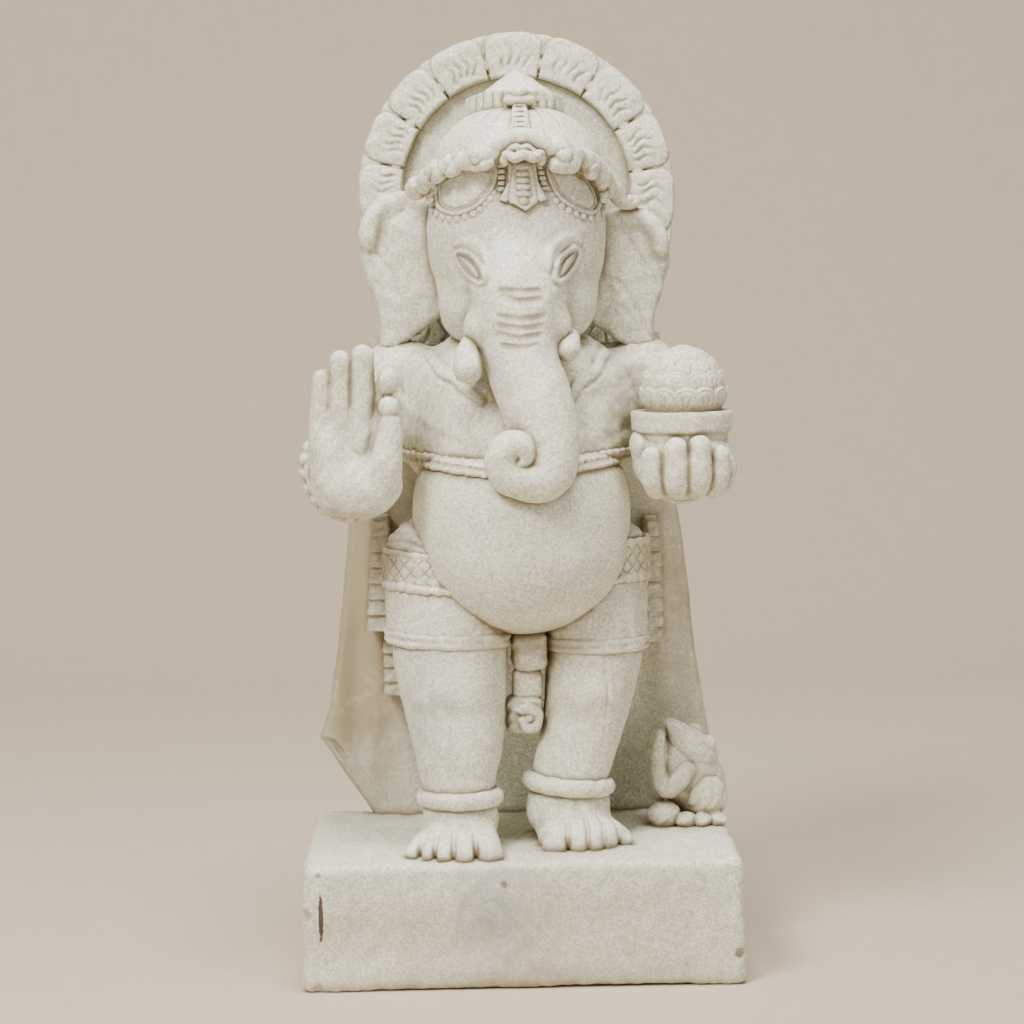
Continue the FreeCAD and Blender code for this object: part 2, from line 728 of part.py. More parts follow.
def mouse_chest():
    """The stone left standing between the raised paw and the body."""
    return ellipsoid((107, 36, 123), 13, 9, 17)


def mouse_haunch():
    return ellipsoid((121, 30, 96), 14, 10, 16)


def mouse_feet():
    spots = [((97, 24, 87), 10, 9, 7), ((112, 14, 85.5), 9, 6, 5), ((129, 16, 85), 8, 6, 5)]
    return [ellipsoid(centre, rx, ry, rz).common(above_plinth()) for centre, rx, ry, rz in spots]


# ---- assembly ----
SIDES = (("right", -1), ("left", 1))


def group(*shapes):
    """Several solids as one node."""
    return Part.makeCompound([solid for shape in shapes for solid in shape.Solids])


def backing(n):
    """The plinth, the mantle and the halo."""
    n["plinth"] = plinth()
    n["mantle"] = mantle()
    n["halo_plate"] = halo_plate()
    n["halo_petals"] = petals()
    n["halo_petal_tips"] = petal_tips(n["halo_petals"])


def torso(n):
    n["back_core"] = back_core()
    n["belly"] = belly()
    n["chest_cord"] = chest_cord()
    n["chest"] = trimmed(chest(), n["mantle"])
    n["head"] = trimmed(head(), n["mantle"], n["halo_plate"], n["halo_petals"])
    n["skull_cap"] = trimmed(skull_cap(), n["halo_plate"])
    n["crown_ring"] = trimmed(crown_ring(), n["halo_plate"])
    n["crown_finial"] = trimmed(finial(), n["halo_plate"])


def face(n):
    """The trunk, tusks, ears, eyes and brows."""
    core = [n["head"], n["chest"], n["belly"], n["chest_cord"]]
    n["trunk"] = trimmed(trunk(), *core)
    n["trunk_curl"] = each_cut([trunk_curl(), trunk_tip()], n["trunk"], *core)
    shoulders, rims, eyes, brows = [], [], [], []
    for name, side in SIDES:
        n[f"{name}_tusk"] = trimmed(tusk(side), n["trunk"], *core)
        shoulders.append(trimmed(shoulder(side), n["chest"], n["mantle"], n["head"]))
        n[f"{name}_ear"] = trimmed(ear(side), n["head"], n["chest"], shoulders[-1])
        rims.append(trimmed(ear_rim(side), n[f"{name}_ear"], n["head"]))
        eyes.append(trimmed(eye(side), n["head"], n["trunk"]))
        brows.append(trimmed(brow(side), n["head"], n["trunk"], eyes[-1]))
    for key, shapes in (("shoulders", shoulders), ("ear_rims", rims), ("eyes", eyes), ("brows", brows)):
        n[key] = group(*shapes)


def crown(n):
    """The ornaments of the forehead, one on the other."""
    skull = [n["head"], n["skull_cap"], n["ear_rims"], n["right_ear"], n["left_ear"]]
    n["plaques"] = each_cut([plaque(i) for i in (0, 1)], n["head"])
    n["crown_band"] = trimmed(crown_band(), n["plaques"], *skull)
    n["crown_knot"] = each_cut(crown_knot(), n["crown_band"], n["head"])
    n["crown_scrolls"] = each_cut(crown_scrolls(), n["crown_band"], n["plaques"], *skull)
    under_strap = [n[key] for key in ("skull_cap", "crown_band", "crown_ring", "crown_knot")]
    n["crown_strap"] = each_cut([crown_strap(), strap_boss()], *under_strap)
    under_tongue = [n[key] for key in ("head", "crown_band", "crown_knot", "plaques")]
    n["forehead_pendant"] = trimmed(forehead_pendant(), *under_tongue)
    below = [n[key] for key in ("head", "crown_band", "crown_scrolls", "forehead_pendant", "plaques")]
    n["pendant_beads"] = each_cut(pendant_beads(), n["crown_knot"], *below)
    n["plaque_rims"] = each_cut([plaque_rim(i) for i in (0, 1)], *below)
    beads = [bead for i in (0, 1) for bead in plaque_beads(i)]
    n["plaque_beads"] = each_cut(beads, n["plaque_rims"], *below)


def lower_body(n):
    """The cloth, legs and feet. The figure's right leg stands forward."""
    done = {key: [] for key in ("hip_bands", "hems", "anklets", "toes")}
    for name, side in SIDES:
        earlier = [shape for shapes in done.values() for shape in shapes]
        earlier += [n[key] for key in ("right_thigh_cloth", "right_leg") if key in n]
        around = [n["belly"], n["mantle"], *earlier]
        band = trimmed(hip_band(side), *around)
        border = trimmed(hem(side), band, *around)
        n[f"{name}_thigh_cloth"] = trimmed(thigh_cloth(side), band, border, *around)
        ring = anklet(side)
        n[f"{name}_leg"] = trimmed(leg(side), ring, *around)
        n[f"{name}_foot"] = trimmed(foot(side), n[f"{name}_leg"], ring)
        for key, shape in (("hip_bands", band), ("hems", border), ("anklets", ring)):
            done[key].append(shape)
        done["toes"].append(each_cut(toes(side), n[f"{name}_foot"]))
    for key, shapes in done.items():
        n[key] = group(*shapes)
    under = ("belly", "hems", "hip_bands", "right_thigh_cloth", "left_thigh_cloth", "right_leg", "left_leg")
    dressed = [n[key] for key in under]
    n["sash"] = each_cut([sash_upper(), sash_middle(), sash_end()], *dressed)
    n["tassels"] = each_cut([tassel(*t) for t in TASSELS], *dressed)


def arms(n):
    body = ("chest", "mantle", "shoulders", "right_ear", "left_ear", "belly", "chest_cord")
    near = [n[key] for key in body]
    for name, side in SIDES:
        n[f"{name}_upper_arm"] = trimmed(upper_arm(side), *near)
        n[f"{name}_forearm"] = trimmed(forearm(side), n[f"{name}_upper_arm"], *near)
    n["bowl"] = bowl()
    n["sweet_heap"] = sweet_heap()
    n["heap_scales"] = each_cut(heap_scales(), n["sweet_heap"], n["bowl"])
    n["right_palm"] = trimmed(right_palm(), n["right_forearm"], n["belly"], n["chest"])
    n["left_palm"] = trimmed(left_palm(), n["bowl"], n["left_forearm"], n["belly"])
    limbs = [n[f"{name}_{member}"] for name, side in SIDES for member in ("forearm", "palm", "upper_arm")]
    n["bangles"] = each_cut([bracelet(-1), bracelet(1)], *limbs, n["bowl"], n["belly"], n["chest_cord"])
    n["right_fingers"] = each_cut(right_fingers(), n["right_palm"])
    n["right_thumb"] = trimmed(right_thumb(), n["right_palm"], n["right_fingers"])
    n["left_fingers"] = each_cut(left_fingers(), n["left_palm"], n["bowl"])


def mouse(n):
    n["mouse_body"] = trimmed(mouse_body(), n["plinth"], n["mantle"])
    n["mouse_head"] = each_cut([mouse_head(), *mouse_ears(), mouse_chest()], n["mouse_body"], n["mantle"])
    nearby = ("mouse_body", "mouse_head", "plinth", "mantle", "left_thigh_cloth", "left_leg")
    around = [n[key] for key in nearby]
    n["mouse_limbs"] = each_cut([mouse_haunch(), *mouse_foreleg(), *mouse_feet()], *around)


def figure():
    """Every node, in the order in which the carver frees them from the block."""
    n = {}
    for stage in (backing, torso, face, crown, lower_body, arms, mouse):
        stage(n)
    return n


def main():
    os.makedirs("parts", exist_ok=True)
    for name, shape in figure().items():
        shape.exportStep(f"parts/{name}.step")
        litres = shape.Volume / 1e6
        print(f"{name:20s} solids {len(shape.Solids):3d}  volume {litres:8.5f} l  valid {shape.isValid()}")


if __name__ == "__main__":
    main()
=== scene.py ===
"""The render model of a standing elephant-headed idol in white marble.

Every piece is carved as a signed-distance form in millimetres from the middle of the plinth's underside
(+X the figure's left, +Y its back, +Z up), then skinned into a mesh in metres in the row frame.
"""
import math
from concurrent.futures import ThreadPoolExecutor

import bpy
import numpy as np
from mathutils import Matrix, Vector


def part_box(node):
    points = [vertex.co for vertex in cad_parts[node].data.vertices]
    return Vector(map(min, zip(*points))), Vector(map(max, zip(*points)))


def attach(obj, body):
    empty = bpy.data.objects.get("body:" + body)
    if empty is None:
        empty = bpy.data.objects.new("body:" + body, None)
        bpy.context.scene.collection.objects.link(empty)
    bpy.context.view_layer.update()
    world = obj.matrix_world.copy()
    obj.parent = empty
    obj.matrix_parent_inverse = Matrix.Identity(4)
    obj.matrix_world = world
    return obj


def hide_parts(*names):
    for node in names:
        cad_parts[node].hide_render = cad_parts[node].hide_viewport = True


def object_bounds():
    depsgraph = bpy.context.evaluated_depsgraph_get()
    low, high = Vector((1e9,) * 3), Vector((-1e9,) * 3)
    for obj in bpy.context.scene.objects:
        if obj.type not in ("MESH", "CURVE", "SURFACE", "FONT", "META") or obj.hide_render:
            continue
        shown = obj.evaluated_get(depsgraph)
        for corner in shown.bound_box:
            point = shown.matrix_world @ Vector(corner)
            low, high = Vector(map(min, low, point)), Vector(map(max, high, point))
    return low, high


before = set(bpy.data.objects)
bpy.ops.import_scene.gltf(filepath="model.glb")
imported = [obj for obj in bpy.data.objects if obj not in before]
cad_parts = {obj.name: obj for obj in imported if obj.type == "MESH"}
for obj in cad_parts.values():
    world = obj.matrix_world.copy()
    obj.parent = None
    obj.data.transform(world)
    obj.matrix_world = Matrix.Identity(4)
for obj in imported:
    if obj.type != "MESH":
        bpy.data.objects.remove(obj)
cad_low, cad_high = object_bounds()

DESIGN_HEIGHT = 610.0
MM = (cad_high.z - cad_low.z) / DESIGN_HEIGHT
plinth_low, plinth_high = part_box("plinth")
ORIGIN = np.array([(plinth_low.x + plinth_high.x) / 2, (plinth_low.y + plinth_high.y) / 2, plinth_low.z])
COARSEN = 1.0
BLOCK = 8
THREADS = ThreadPoolExecutor(4)
FAR = 40.0


# ---- distance fields: p is three arrays of mm, and inside is negative ----
def spin(axis, degrees):
    """Rotation rows that take a world offset into a shape's own axes."""
    return np.array(Matrix.Rotation(math.radians(degrees), 3, axis).transposed(), np.float32)


def local(p, centre, turn=None):
    x, y, z = (p[i] - np.float32(centre[i]) for i in range(3))
    if turn is None:
        return x, y, z
    return tuple(turn[i, 0] * x + turn[i, 1] * y + turn[i, 2] * z for i in range(3))


def egg(p, centre, radii, turn=None):
    x, y, z = local(p, centre, turn)
    a, b, c = (np.float32(r) for r in radii)
    k0 = np.sqrt((x / a) ** 2 + (y / b) ** 2 + (z / c) ** 2)
    k1 = np.sqrt((x / (a * a)) ** 2 + (y / (b * b)) ** 2 + (z / (c * c)) ** 2)
    return k0 * (k0 - 1) / np.maximum(k1, 1e-5)


def ball(p, centre, radius):
    x, y, z = local(p, centre)
    return np.sqrt(x * x + y * y + z * z) - np.float32(radius)


def bar(p, start, end, r0, r1):
    ax, ay, az = (np.float32(v) for v in start)
    dx, dy, dz = (np.float32(end[i] - start[i]) for i in range(3))
    x, y, z = p[0] - ax, p[1] - ay, p[2] - az
    h = np.clip((x * dx + y * dy + z * dz) / (dx * dx + dy * dy + dz * dz + 1e-9), 0, 1)
    x, y, z = x - h * dx, y - h * dy, z - h * dz
    return np.sqrt(x * x + y * y + z * z) - (np.float32(r0) + h * np.float32(r1 - r0))


def curve(points, pieces=4):
    """A smooth run of points through the given ones (Catmull-Rom), every column interpolated."""
    q = np.array(points, float)
    q = np.vstack([2 * q[0] - q[1], q, 2 * q[-1] - q[-2]])
    out = []
    for i in range(1, len(q) - 2):
        for t in np.arange(pieces) / pieces:
            out.append(0.5 * (2 * q[i] + (q[i + 1] - q[i - 1]) * t
                              + (2 * q[i - 1] - 5 * q[i] + 4 * q[i + 1] - q[i + 2]) * t * t
                              + (3 * q[i] - q[i - 1] - 3 * q[i + 1] + q[i + 2]) * t ** 3))
    out.append(q[-2])
    return np.array(out)


def culled(p, low, high, reach, shape):
    """shape(p) near its box, and a safe large value away from it."""
    out = np.full(p[0].shape, np.float32(FAR))
    near = np.ones(p[0].shape, bool)
    for i in range(3):
        near &= (p[i] > low[i] - reach) & (p[i] < high[i] + reach)
    if near.any():
        out[near] = shape(tuple(a[near] for a in p))
    return out


def rope(p, points, pieces=4):
    """A round bar of changing radius through (x, y, z, r) points."""
    q = curve(points, pieces)
    low, high = (q[:, :3] - q[:, 3:]).min(0), (q[:, :3] + q[:, 3:]).max(0)

    def shape(s):
        d = bar(s, q[0, :3], q[1, :3], q[0, 3], q[1, 3])
        for a, b in zip(q[1:-1], q[2:]):
            d = np.minimum(d, bar(s, a[:3], b[:3], a[3], b[3]))
        return d

    return culled(p, low, high, 12.0, shape)


def join(a, b, k):
    h = np.clip(0.5 + 0.5 * (b - a) / k, 0, 1)
    return b + (a - b) * h - k * h * (1 - h)


def both(a, b, k):
    return -join(-a, -b, k)


def carve(a, tool, k):
    return both(a, -tool, k)


def any_of(fields):
    d = fields[0]
    for f in fields[1:]:
        d = np.minimum(d, f)
    return d


def brick(p, centre, half, radius, turn=None):
    q = local(p, centre, turn)
    over = [np.abs(q[i]) - np.float32(half[i] - radius) for i in range(3)]
    outside = np.sqrt(sum(np.maximum(o, 0) ** 2 for o in over))
    return outside + np.minimum(np.maximum(np.maximum(over[0], over[1]), over[2]), 0) - np.float32(radius)


def hoop(p, centre, big, small, turn=None):
    """A ring about its own Z axis."""
    x, y, z = local(p, centre, turn)
    return np.sqrt((np.sqrt(x * x + y * y) - np.float32(big)) ** 2 + z * z) - np.float32(small)


def outline(u, v, points):
    """Signed distance to a closed polygon in two coordinates."""
    q = np.array(points, np.float32)
    best = np.full(u.shape, np.float32(1e9))
    inside = np.zeros(u.shape, bool)
    for (ax, ay), (bx, by) in zip(q, np.roll(q, -1, 0)):
        ex, ey, wx, wy = bx - ax, by - ay, u - ax, v - ay
        t = np.clip((wx * ex + wy * ey) / (ex * ex + ey * ey), 0, 1)
        best = np.minimum(best, (wx - ex * t) ** 2 + (wy - ey * t) ** 2)
        crosses = (ay <= v) != (by <= v)
        if ey != 0:
            inside ^= crosses & (u < ax + ex * (v - ay) / ey)
    return np.where(inside, -1, 1) * np.sqrt(best)


def rounded(points, pieces=4):
    """A smooth closed outline through the given points."""
    q = [tuple(a) for a in points]
    ring = curve(q[-2:] + q + q[:3], pieces)
    return ring[2 * pieces:-2 * pieces - 1]


def rough(p, amount, size, seed):
    """Soft uneven hand work, about amount high and size across."""
    rng = np.random.default_rng(seed)
    total = np.zeros(p[0].shape, np.float32)
    for _ in range(3):
        a, b = rng.normal(size=(2, 3))
        a *= 2 * math.pi / (size * np.linalg.norm(a)) * rng.uniform(0.7, 1.4)
        b *= 2 * math.pi / (size * np.linalg.norm(b)) * rng.uniform(0.4, 0.8)
        s, t = rng.uniform(0, 6.28, 2)
        warp = np.sin(np.float32(b[0]) * p[0] + np.float32(b[1]) * p[1] + np.float32(b[2]) * p[2]
                      + np.float32(t))
        total += np.sin(np.float32(a[0]) * p[0] + np.float32(a[1]) * p[1] + np.float32(a[2]) * p[2]
                        + np.float32(s) + np.float32(1.4) * warp)
    return np.float32(amount / 2.2) * total


def traced(u, v, points):
    """Distance in two coordinates to a smooth line of (u, v, half width) points."""
    return rope((u, 0 * u, v), [(a, 0.0, b, r) for a, b, r in points])


def cut(gap, width, depth):
    return np.float32(depth) * np.exp(-(np.maximum(gap, 0) / np.float32(width)) ** 2)


def front(shape, xz, default=0.0):
    """Where a line from the front first meets shape, at each (x, z)."""
    q = np.array(xz, np.float32).reshape(-1, 2)
    ys = np.arange(-110, 92, 0.5, dtype=np.float32)
    grid = (np.repeat(q[:, :1], len(ys), 1), np.repeat(ys[None], len(q), 0),
            np.repeat(q[:, 1:], len(ys), 1))
    hit = shape(grid) < 0
    return np.where(hit.any(1), ys[hit.argmax(1)], default)


def laid(shape, points, sink=0.3, default=0.0):
    """(x, z, r) points set on the front of shape, each sunk by a share of its radius."""
    q = np.array(points, float)
    y = front(shape, q[:, :2], default)
    return np.column_stack([q[:, 0], y + q[:, 2] * (sink - 0.5), q[:, 1], q[:, 2]])


# ---- the block, the mantle and the halo ----
CHIPS = ((-131, -95, 2, 3.5), (-60, -96, 0, 3), (40, -97, -1, 3.5), (52, -96.5, -1, 4), (66, -97, -1, 4),
         (80, -97, -1.5, 4),
         (92, -96.5, -1, 3.6), (108, -97, -1, 4.2), (124, -96, 0, 3), (137, -93, 20, 3),
         (-139, -94, 50, 3.4), (139, -95, 63, 2.6),
         (-5, -96, 82, 2.4), (-90, -96, 83, 2.6), (70, -96.5, 83, 2.8))


def plinth(p):
    spread = 1 + 0.00026 * (82 - p[2])
    d = brick((p[0] / spread, p[1], p[2]), (0, 0, 41), (138.9, 94.8, 40.9), 6.2)
    d = d + rough(p, 0.8, 55, 1) + rough(p, 0.35, 13, 2)
    for x, y, z, r in CHIPS:
        d = carve(d, ball(p, (x, y, z), r), 1.5)
    return np.maximum(d, -p[2])


MANTLE_EDGE = [(-96, 408), (-104, 350), (-110.8, 290), (-114.8, 252), (-120, 202), (-127, 157),
               (-134.6, 136), (-126, 123.5),
               (-114.4, 106), (-100.4, 84.8), (-97, 78), (137, 78), (134.8, 110), (131, 140), (122.8, 191),
               (118, 243),
               (111.9, 291), (106, 350), (101, 408)]
MANTLE_TURN = [(-93, 300, 1.4), (-96, 250, 1.4), (-100.4, 209, 1.5), (-106.7, 152, 1.5),
               (-113.3, 121.4, 1.5), (-119.2, 125, 1.4),
               (-125.8, 132.9, 1.4), (-134.3, 134, 1.2)]


def mantle(p):
    x, y, z = p
    edge = outline(x, z, MANTLE_EDGE)
    fold = 1.4 * np.sin(x / 7.5 + z / 55) + 0.8 * np.sin(x / 3.9 - z / 80)
    face = 77.5 + fold * np.clip((330 - z) / 120, 0, 1)
    d = both(edge, face - y, 5.0)
    d = both(d, y - 91.8, 3.0)
    d = carve(d, rope(p, [(a, 76.2, b, r) for a, b, r in MANTLE_TURN]), 1.5)
    return d + rough(p, 0.3, 30, 3)


HALO_X, HALO_Z, HALO_R, HALO_DROP = 5.5, 504.0, 106.0, 1.62
PETALS = np.array([-62, -41, -20.5, -1, 18.5, 43, 66.5, 90.5, 114.7, 135.5, 157.5, 177.5, 198, 219, 241])
PETAL_EDGES = (PETALS[1:] + PETALS[:-1]) / 2


def halo_polar(x, z):
    down = z - HALO_Z
    down = np.where(down < 0, down / HALO_DROP, down)
    across = x - HALO_X
    angle = np.degrees(np.arctan2(down, across))
    return np.sqrt(across ** 2 + down ** 2), np.where(angle < -90, angle + 360, angle)


def halo_plate(p):
    x, y, z = p
    r, _ = halo_polar(x, z)
    d = both(both(r - (HALO_R - 1.2), 75.0 - y, 3.0), y - 91.8, 4.0)
    inner = np.sqrt((x - 5.8) ** 2 + (z - 508.8) ** 2)
    rim = both(both(inner - 86, 77.3 - inner, 5.0), 67.6 - y, 3.5)
    d = join(d, both(rim, y - 80, 2.0), 2.5)
    d = np.maximum(d, 398 - z)
    return d + rough(p, 0.25, 24, 5)


def petal_space(x, z):
    """Each point's petal: offset across it, height from its foot, half width, index."""
    r, angle = halo_polar(x, z)
    i = np.clip(np.searchsorted(PETAL_EDGES, angle), 1, len(PETALS) - 2)
    half = np.radians((PETAL_EDGES[i] - PETAL_EDGES[i - 1]) / 2) * 93
    middle = (PETAL_EDGES[i] + PETAL_EDGES[i - 1]) / 2
    return np.radians(angle - middle) * 93, r - 79.5, half, i


def halo_petals(p):
    x, y, z = p
    s, t, half, i = petal_space(x, z)
    half = half - 0.35
    high, corner = 26.4, 11.0
    over, beyond = np.abs(s) - (half - corner), t - (high - corner)
    round_end = (np.maximum(over, 0) ** 2.4 + np.maximum(beyond, 0) ** 2.4 + 1e-6) ** (1 / 2.4) - corner
    flat = np.maximum(np.where((over > 0) & (beyond > 0), round_end, np.maximum(over, beyond) - corner),
                      -3.0 - t)
    swell = 1.5 * np.clip(1 - (s / half) ** 2, 0,
                          1) + 0.7 * np.clip(t / high, 0, 1) - 0.8 * np.clip((t - 20) / 6, 0, 1)
    d = both(flat, 67.6 - swell - y, 2.6)
    for k, (lean, start, length) in enumerate(((-0.56, 3.5, 13.0), (-0.20, 4.5, 16.5), (0.16, 5.0, 15.0),
                                               (0.50, 3.0, 12.0))):
        way = half * lean * (0.75 + 0.02 * t) + 1.5 * np.sin(t * 0.40 + i * 0.9) - 0.8
        fade = np.clip((start + length - t) / (0.6 * length), 0, 1) * np.clip((t - start + 3) / 3, 0, 1)
        width = 0.85 + 0.35 * fade
        d = d + 1.5 * fade * np.exp(-((s - way) / width) ** 2) * np.clip(np.cos(i * 1.3 + k) + 1.5, 0.65, 1)
    d = both(d, y - 78, 2.0)
    return np.maximum(d, 402 - z) + rough(p, 0.25, 17, 6)


def halo_tips(p):
    x, y, z = p
    s, t, half, i = petal_space(x, z)
    side = half - np.abs(s)
    flat = np.maximum(np.maximum(side - (t - 11) * 0.62, t - 26.2 + side * 0.16), 11 - t)
    d = both(flat, 68.0 - y, 2.0)
    return np.maximum(both(d, y - 77, 2.0), 402 - z) + rough(p, 0.2, 14, 7)


# ---- body ----
BELLY_C = (3.8, -10.0, 275.0)


def belly(p):
    x, y, z = p
    dz = z - BELLY_C[2]
    tall = np.where(dz > 0, dz * (58.0 / 128.0), dz)
    d = egg((x, y, tall), (BELLY_C[0], BELLY_C[1], 0), (70.2, 69.5, 58.3))
    d = join(d, egg(p, (4, -4, 302), (67, 66, 50)), 12)
    d = both(d, z - 335, 16)
    d = carve(d, ball(p, (-1.8, -80.5, 279.5), 1.9), 1.2)
    return d + rough(p, 0.3, 30, 11)


def torso_core(p):
    d = egg(p, (4, 17, 358), (79, 62, 62))
    d = join(d, egg(p, (-74, 36, 382), (26, 28, 27)), 14)
    d = join(d, egg(p, (86, 36, 382), (24, 28, 26)), 14)
    return join(d, egg(p, (4, 12, 338), (71, 66, 40)), 14)


COLLARS = ([(56, 414, 2.6), (62.5, 402, 3.0), (57, 395, 2.6), (53, 388.4, 3.0), (46.5, 383.5, 2.5),
            (41, 380, 2.8), (36, 372, 2.2)],
           [(-46, 414, 2.4), (-55, 403, 2.9), (-51, 395, 2.5), (-46, 389, 3.0), (-38, 385, 2.5),
            (-30, 378, 2.8), (-22, 372, 2.2)])


def torso(p):
    d = torso_core(p)
    ahead = np.clip((14 - p[1]) / 10, 0, 1)
    for line in COLLARS:
        gap = traced(p[0], p[2], line)
        d = d - cut(gap + 0.8, 1.5, 2.2) * ahead + cut(np.abs(gap - 1.8), 1.0, 0.8) * ahead
    d = join(d, bar(p, (-88, 34, 378), (-109, 2, 322), 19.5, 17), 8)
    d = join(d, bar(p, (96, 34, 378), (108, 2, 322), 18.5, 17), 8)
    return d + rough(p, 0.7, 22, 12) + rough(p, 0.3, 7, 13)


def trunkless(p):
    return np.minimum(belly(p), torso_core(p))


def chest_cord(p):
    x, y, z = p
    body = trunkless(p)
    off = z - (330.3 - 2.5 * np.cos(x / 24))
    upper = np.sqrt((body - 0.1) ** 2 + (off - 2.4) ** 2) - 2.6
    lower = np.sqrt((body - 0.1) ** 2 + (off + 2.4) ** 2) - 2.4
    around = np.arctan2(x - 4, 12 - y) * 66
    bead = np.cos(around * (2 * math.pi / 6.2) + 0.6 * np.sin(x / 9))
    d = join(upper - 0.35 * bead, lower, 1.8)
    return np.maximum(d, y - 34) + rough(p, 0.3, 8, 14)


def back_core(p):
    return brick(p, (5, 62, 300), (60, 14, 92), 8)


# ---- head ----
def skull(p):
    d = egg(p, (4, 14, 476), (58.5, 58, 74))
    d = join(d, egg(p, (5.5, 14, 520), (54.5, 54, 40.5)), 6)
    d = join(d, egg(p, (-22, 0, 430), (25.5, 30, 26)), 9)
    d = join(d, egg(p, (30, 0, 431), (25, 30, 25)), 9)
    return join(d, egg(p, (4, 18, 412), (36, 34, 22)), 8)


TRUNK = [(4, -8, 478, 24), (4, -22, 460, 28), (4, -33, 444, 31), (3.5, -40, 428, 29), (3.2, -45, 410, 25.5),
         (6.2, -50, 393, 24),
         (11, -56, 378, 23.6), (15.2, -62, 364, 23), (18.8, -67, 350, 21.2), (21, -71, 338, 18.8),
         (21, -75, 328, 16.0),
         (15.5, -78, 322, 14.0), (6, -80, 322.6, 13.0), (-4.5, -81, 326, 12.2), (-9.0, -82, 334, 11.4),
         (-6.6, -83, 342.5, 10.8),
         (0.0, -84.6, 346.0, 9.2), (5.4, -86.5, 342.4, 6.8), (5.6, -88, 336.8, 4.4),
         (2.4, -88.5, 333.6, 2.6)]
SOCKETS = (((-23.0, -41, 417), (9.0, 12.5, 11.5)), ((29.0, -40, 416), (8.6, 12.5, 11.0)))
WRINKLES = ([(-8, 441.8, 1.3), (4, 441, 1.3), (16, 441.5, 1.2)],
            [(-7, 438.5, 1.5), (4, 434.6, 1.9), (17, 436, 1.5)],
            [(-9, 426, 1.4), (3.4, 423.3, 1.8), (18.6, 425.2, 1.4)],
            [(-9.8, 420, 1.4), (3.3, 417.4, 1.8), (17, 418.8, 1.4)],
            [(-9.8, 414.2, 1.3), (3.2, 411.7, 1.7), (16.5, 413.4, 1.3)],
            [(-7.5, 407.4, 1.2), (4.4, 405.4, 1.6), (15, 407.6, 1.2)])
EYES = ([(-33.6, 463.4), (-30.5, 460.6), (-27.2, 457), (-23.8, 452.6), (-21.0, 449.2)],
        [(40.8, 464.2), (38.6, 461.6), (35.6, 457.8), (32.6, 453.2), (30.0, 449.6)])
BROWS = ([(-35.5, 470.6, 1.5), (-28.6, 472.6, 2.4), (-20.6, 469.2, 3.0), (-16.6, 461.5, 2.8),
          (-16.8, 451.5, 1.6)],
         [(-31, 467.2, 1.2), (-26, 467.6, 1.7), (-21.6, 463.5, 1.9), (-19.8, 457, 1.5)],
         [(22.6, 455, 1.5), (23.8, 465, 2.6), (29.4, 472, 3.0), (36.4, 474.4, 2.4), (43, 471, 1.5)],
         [(26.6, 457, 1.4), (28.8, 464.6, 1.8), (34, 469.6, 1.7), (39.5, 469.4, 1.2)])


def head_core(p):
    return join(skull(p), rope(p, TRUNK[:9]), 7)


def almond(p, index):
    """Flat distance to one narrow slanting eye."""
    return traced(p[0], p[2], [(x, z, r) for (x, z), r in zip(EYES[index], (0.4, 2.0, 2.8, 2.2, 0.5))])


def head(p):
    d = skull(p)
    d = join(d, rope(p, TRUNK[:10]), 7)
    for centre, radii in SOCKETS:
        d = join(d, egg(p, centre, radii), 9)
    d = np.minimum(d, rope(p, TRUNK[8:], 5))
    for line in BROWS:
        d = join(d, rope(p, laid(head_core, line, 0.66)), 3.2)
    ahead = np.clip((-8 - p[1]) / 8, 0, 1)
    for index in (0, 1):
        gap = almond(p, index)
        d = d + ahead * (cut(np.abs(gap - 0.1), 0.9, 0.75) - cut(np.abs(gap - 2.6), 1.5, 1.5)
                         + cut(np.abs(gap - 5.2), 1.0, 0.5))
    for line in WRINKLES:
        d = carve(d, rope(p, laid(head_core, line, 0.25)), 2.2)
    for x, z, radius in ((-25, 402, 12), (32.5, 403.5, 11)):
        d = carve(d, hoop(p, (x, -52, z), radius, 0.7, spin("X", 70)), 1.2)
    d = carve(d, rope(p, [(-7, -95, 337, 1.3), (-2, -96, 332, 1.6), (5, -96, 332, 1.6),
                          (10.5, -96, 337.5, 1.5), (10.8, -95, 346, 1.2)]), 2.0)
    return d + rough(p, 0.28, 20, 21)


def eyes(p):
    gap = np.minimum(almond(p, 0), almond(p, 1))
    d = both(gap + 0.5, head_core(p) - 0.35 - 0.3 * np.maximum(-gap, 0), 1.2)
    return np.maximum(d, p[1] + 16)


def right_tusk(p):
    d = rope(p, [(-27.5, -40, 412, 3.5), (-29, -48, 405, 6.4), (-29.6, -53, 397.5, 8.8),
                 (-29.6, -56, 392.4, 9.6)])
    return d + rough(p, 0.3, 9, 31)


def left_tusk(p):
    d = rope(p, [(36, -38, 410, 6.5), (35.2, -46, 405.5, 7.4), (34.8, -52, 402.5, 7.2)])
    x, y, z = p
    facet = (x - 36) * 0.45 - (y + 52) * 0.55 - (z - 401) * 0.70 - 3.8
    side = (x - 36) * 0.8 - (y + 52) * 0.3 + (z - 404) * 0.25 - 5.6
    return both(both(d, facet, 1.2), side, 1.0) + rough(p, 0.25, 8, 32)


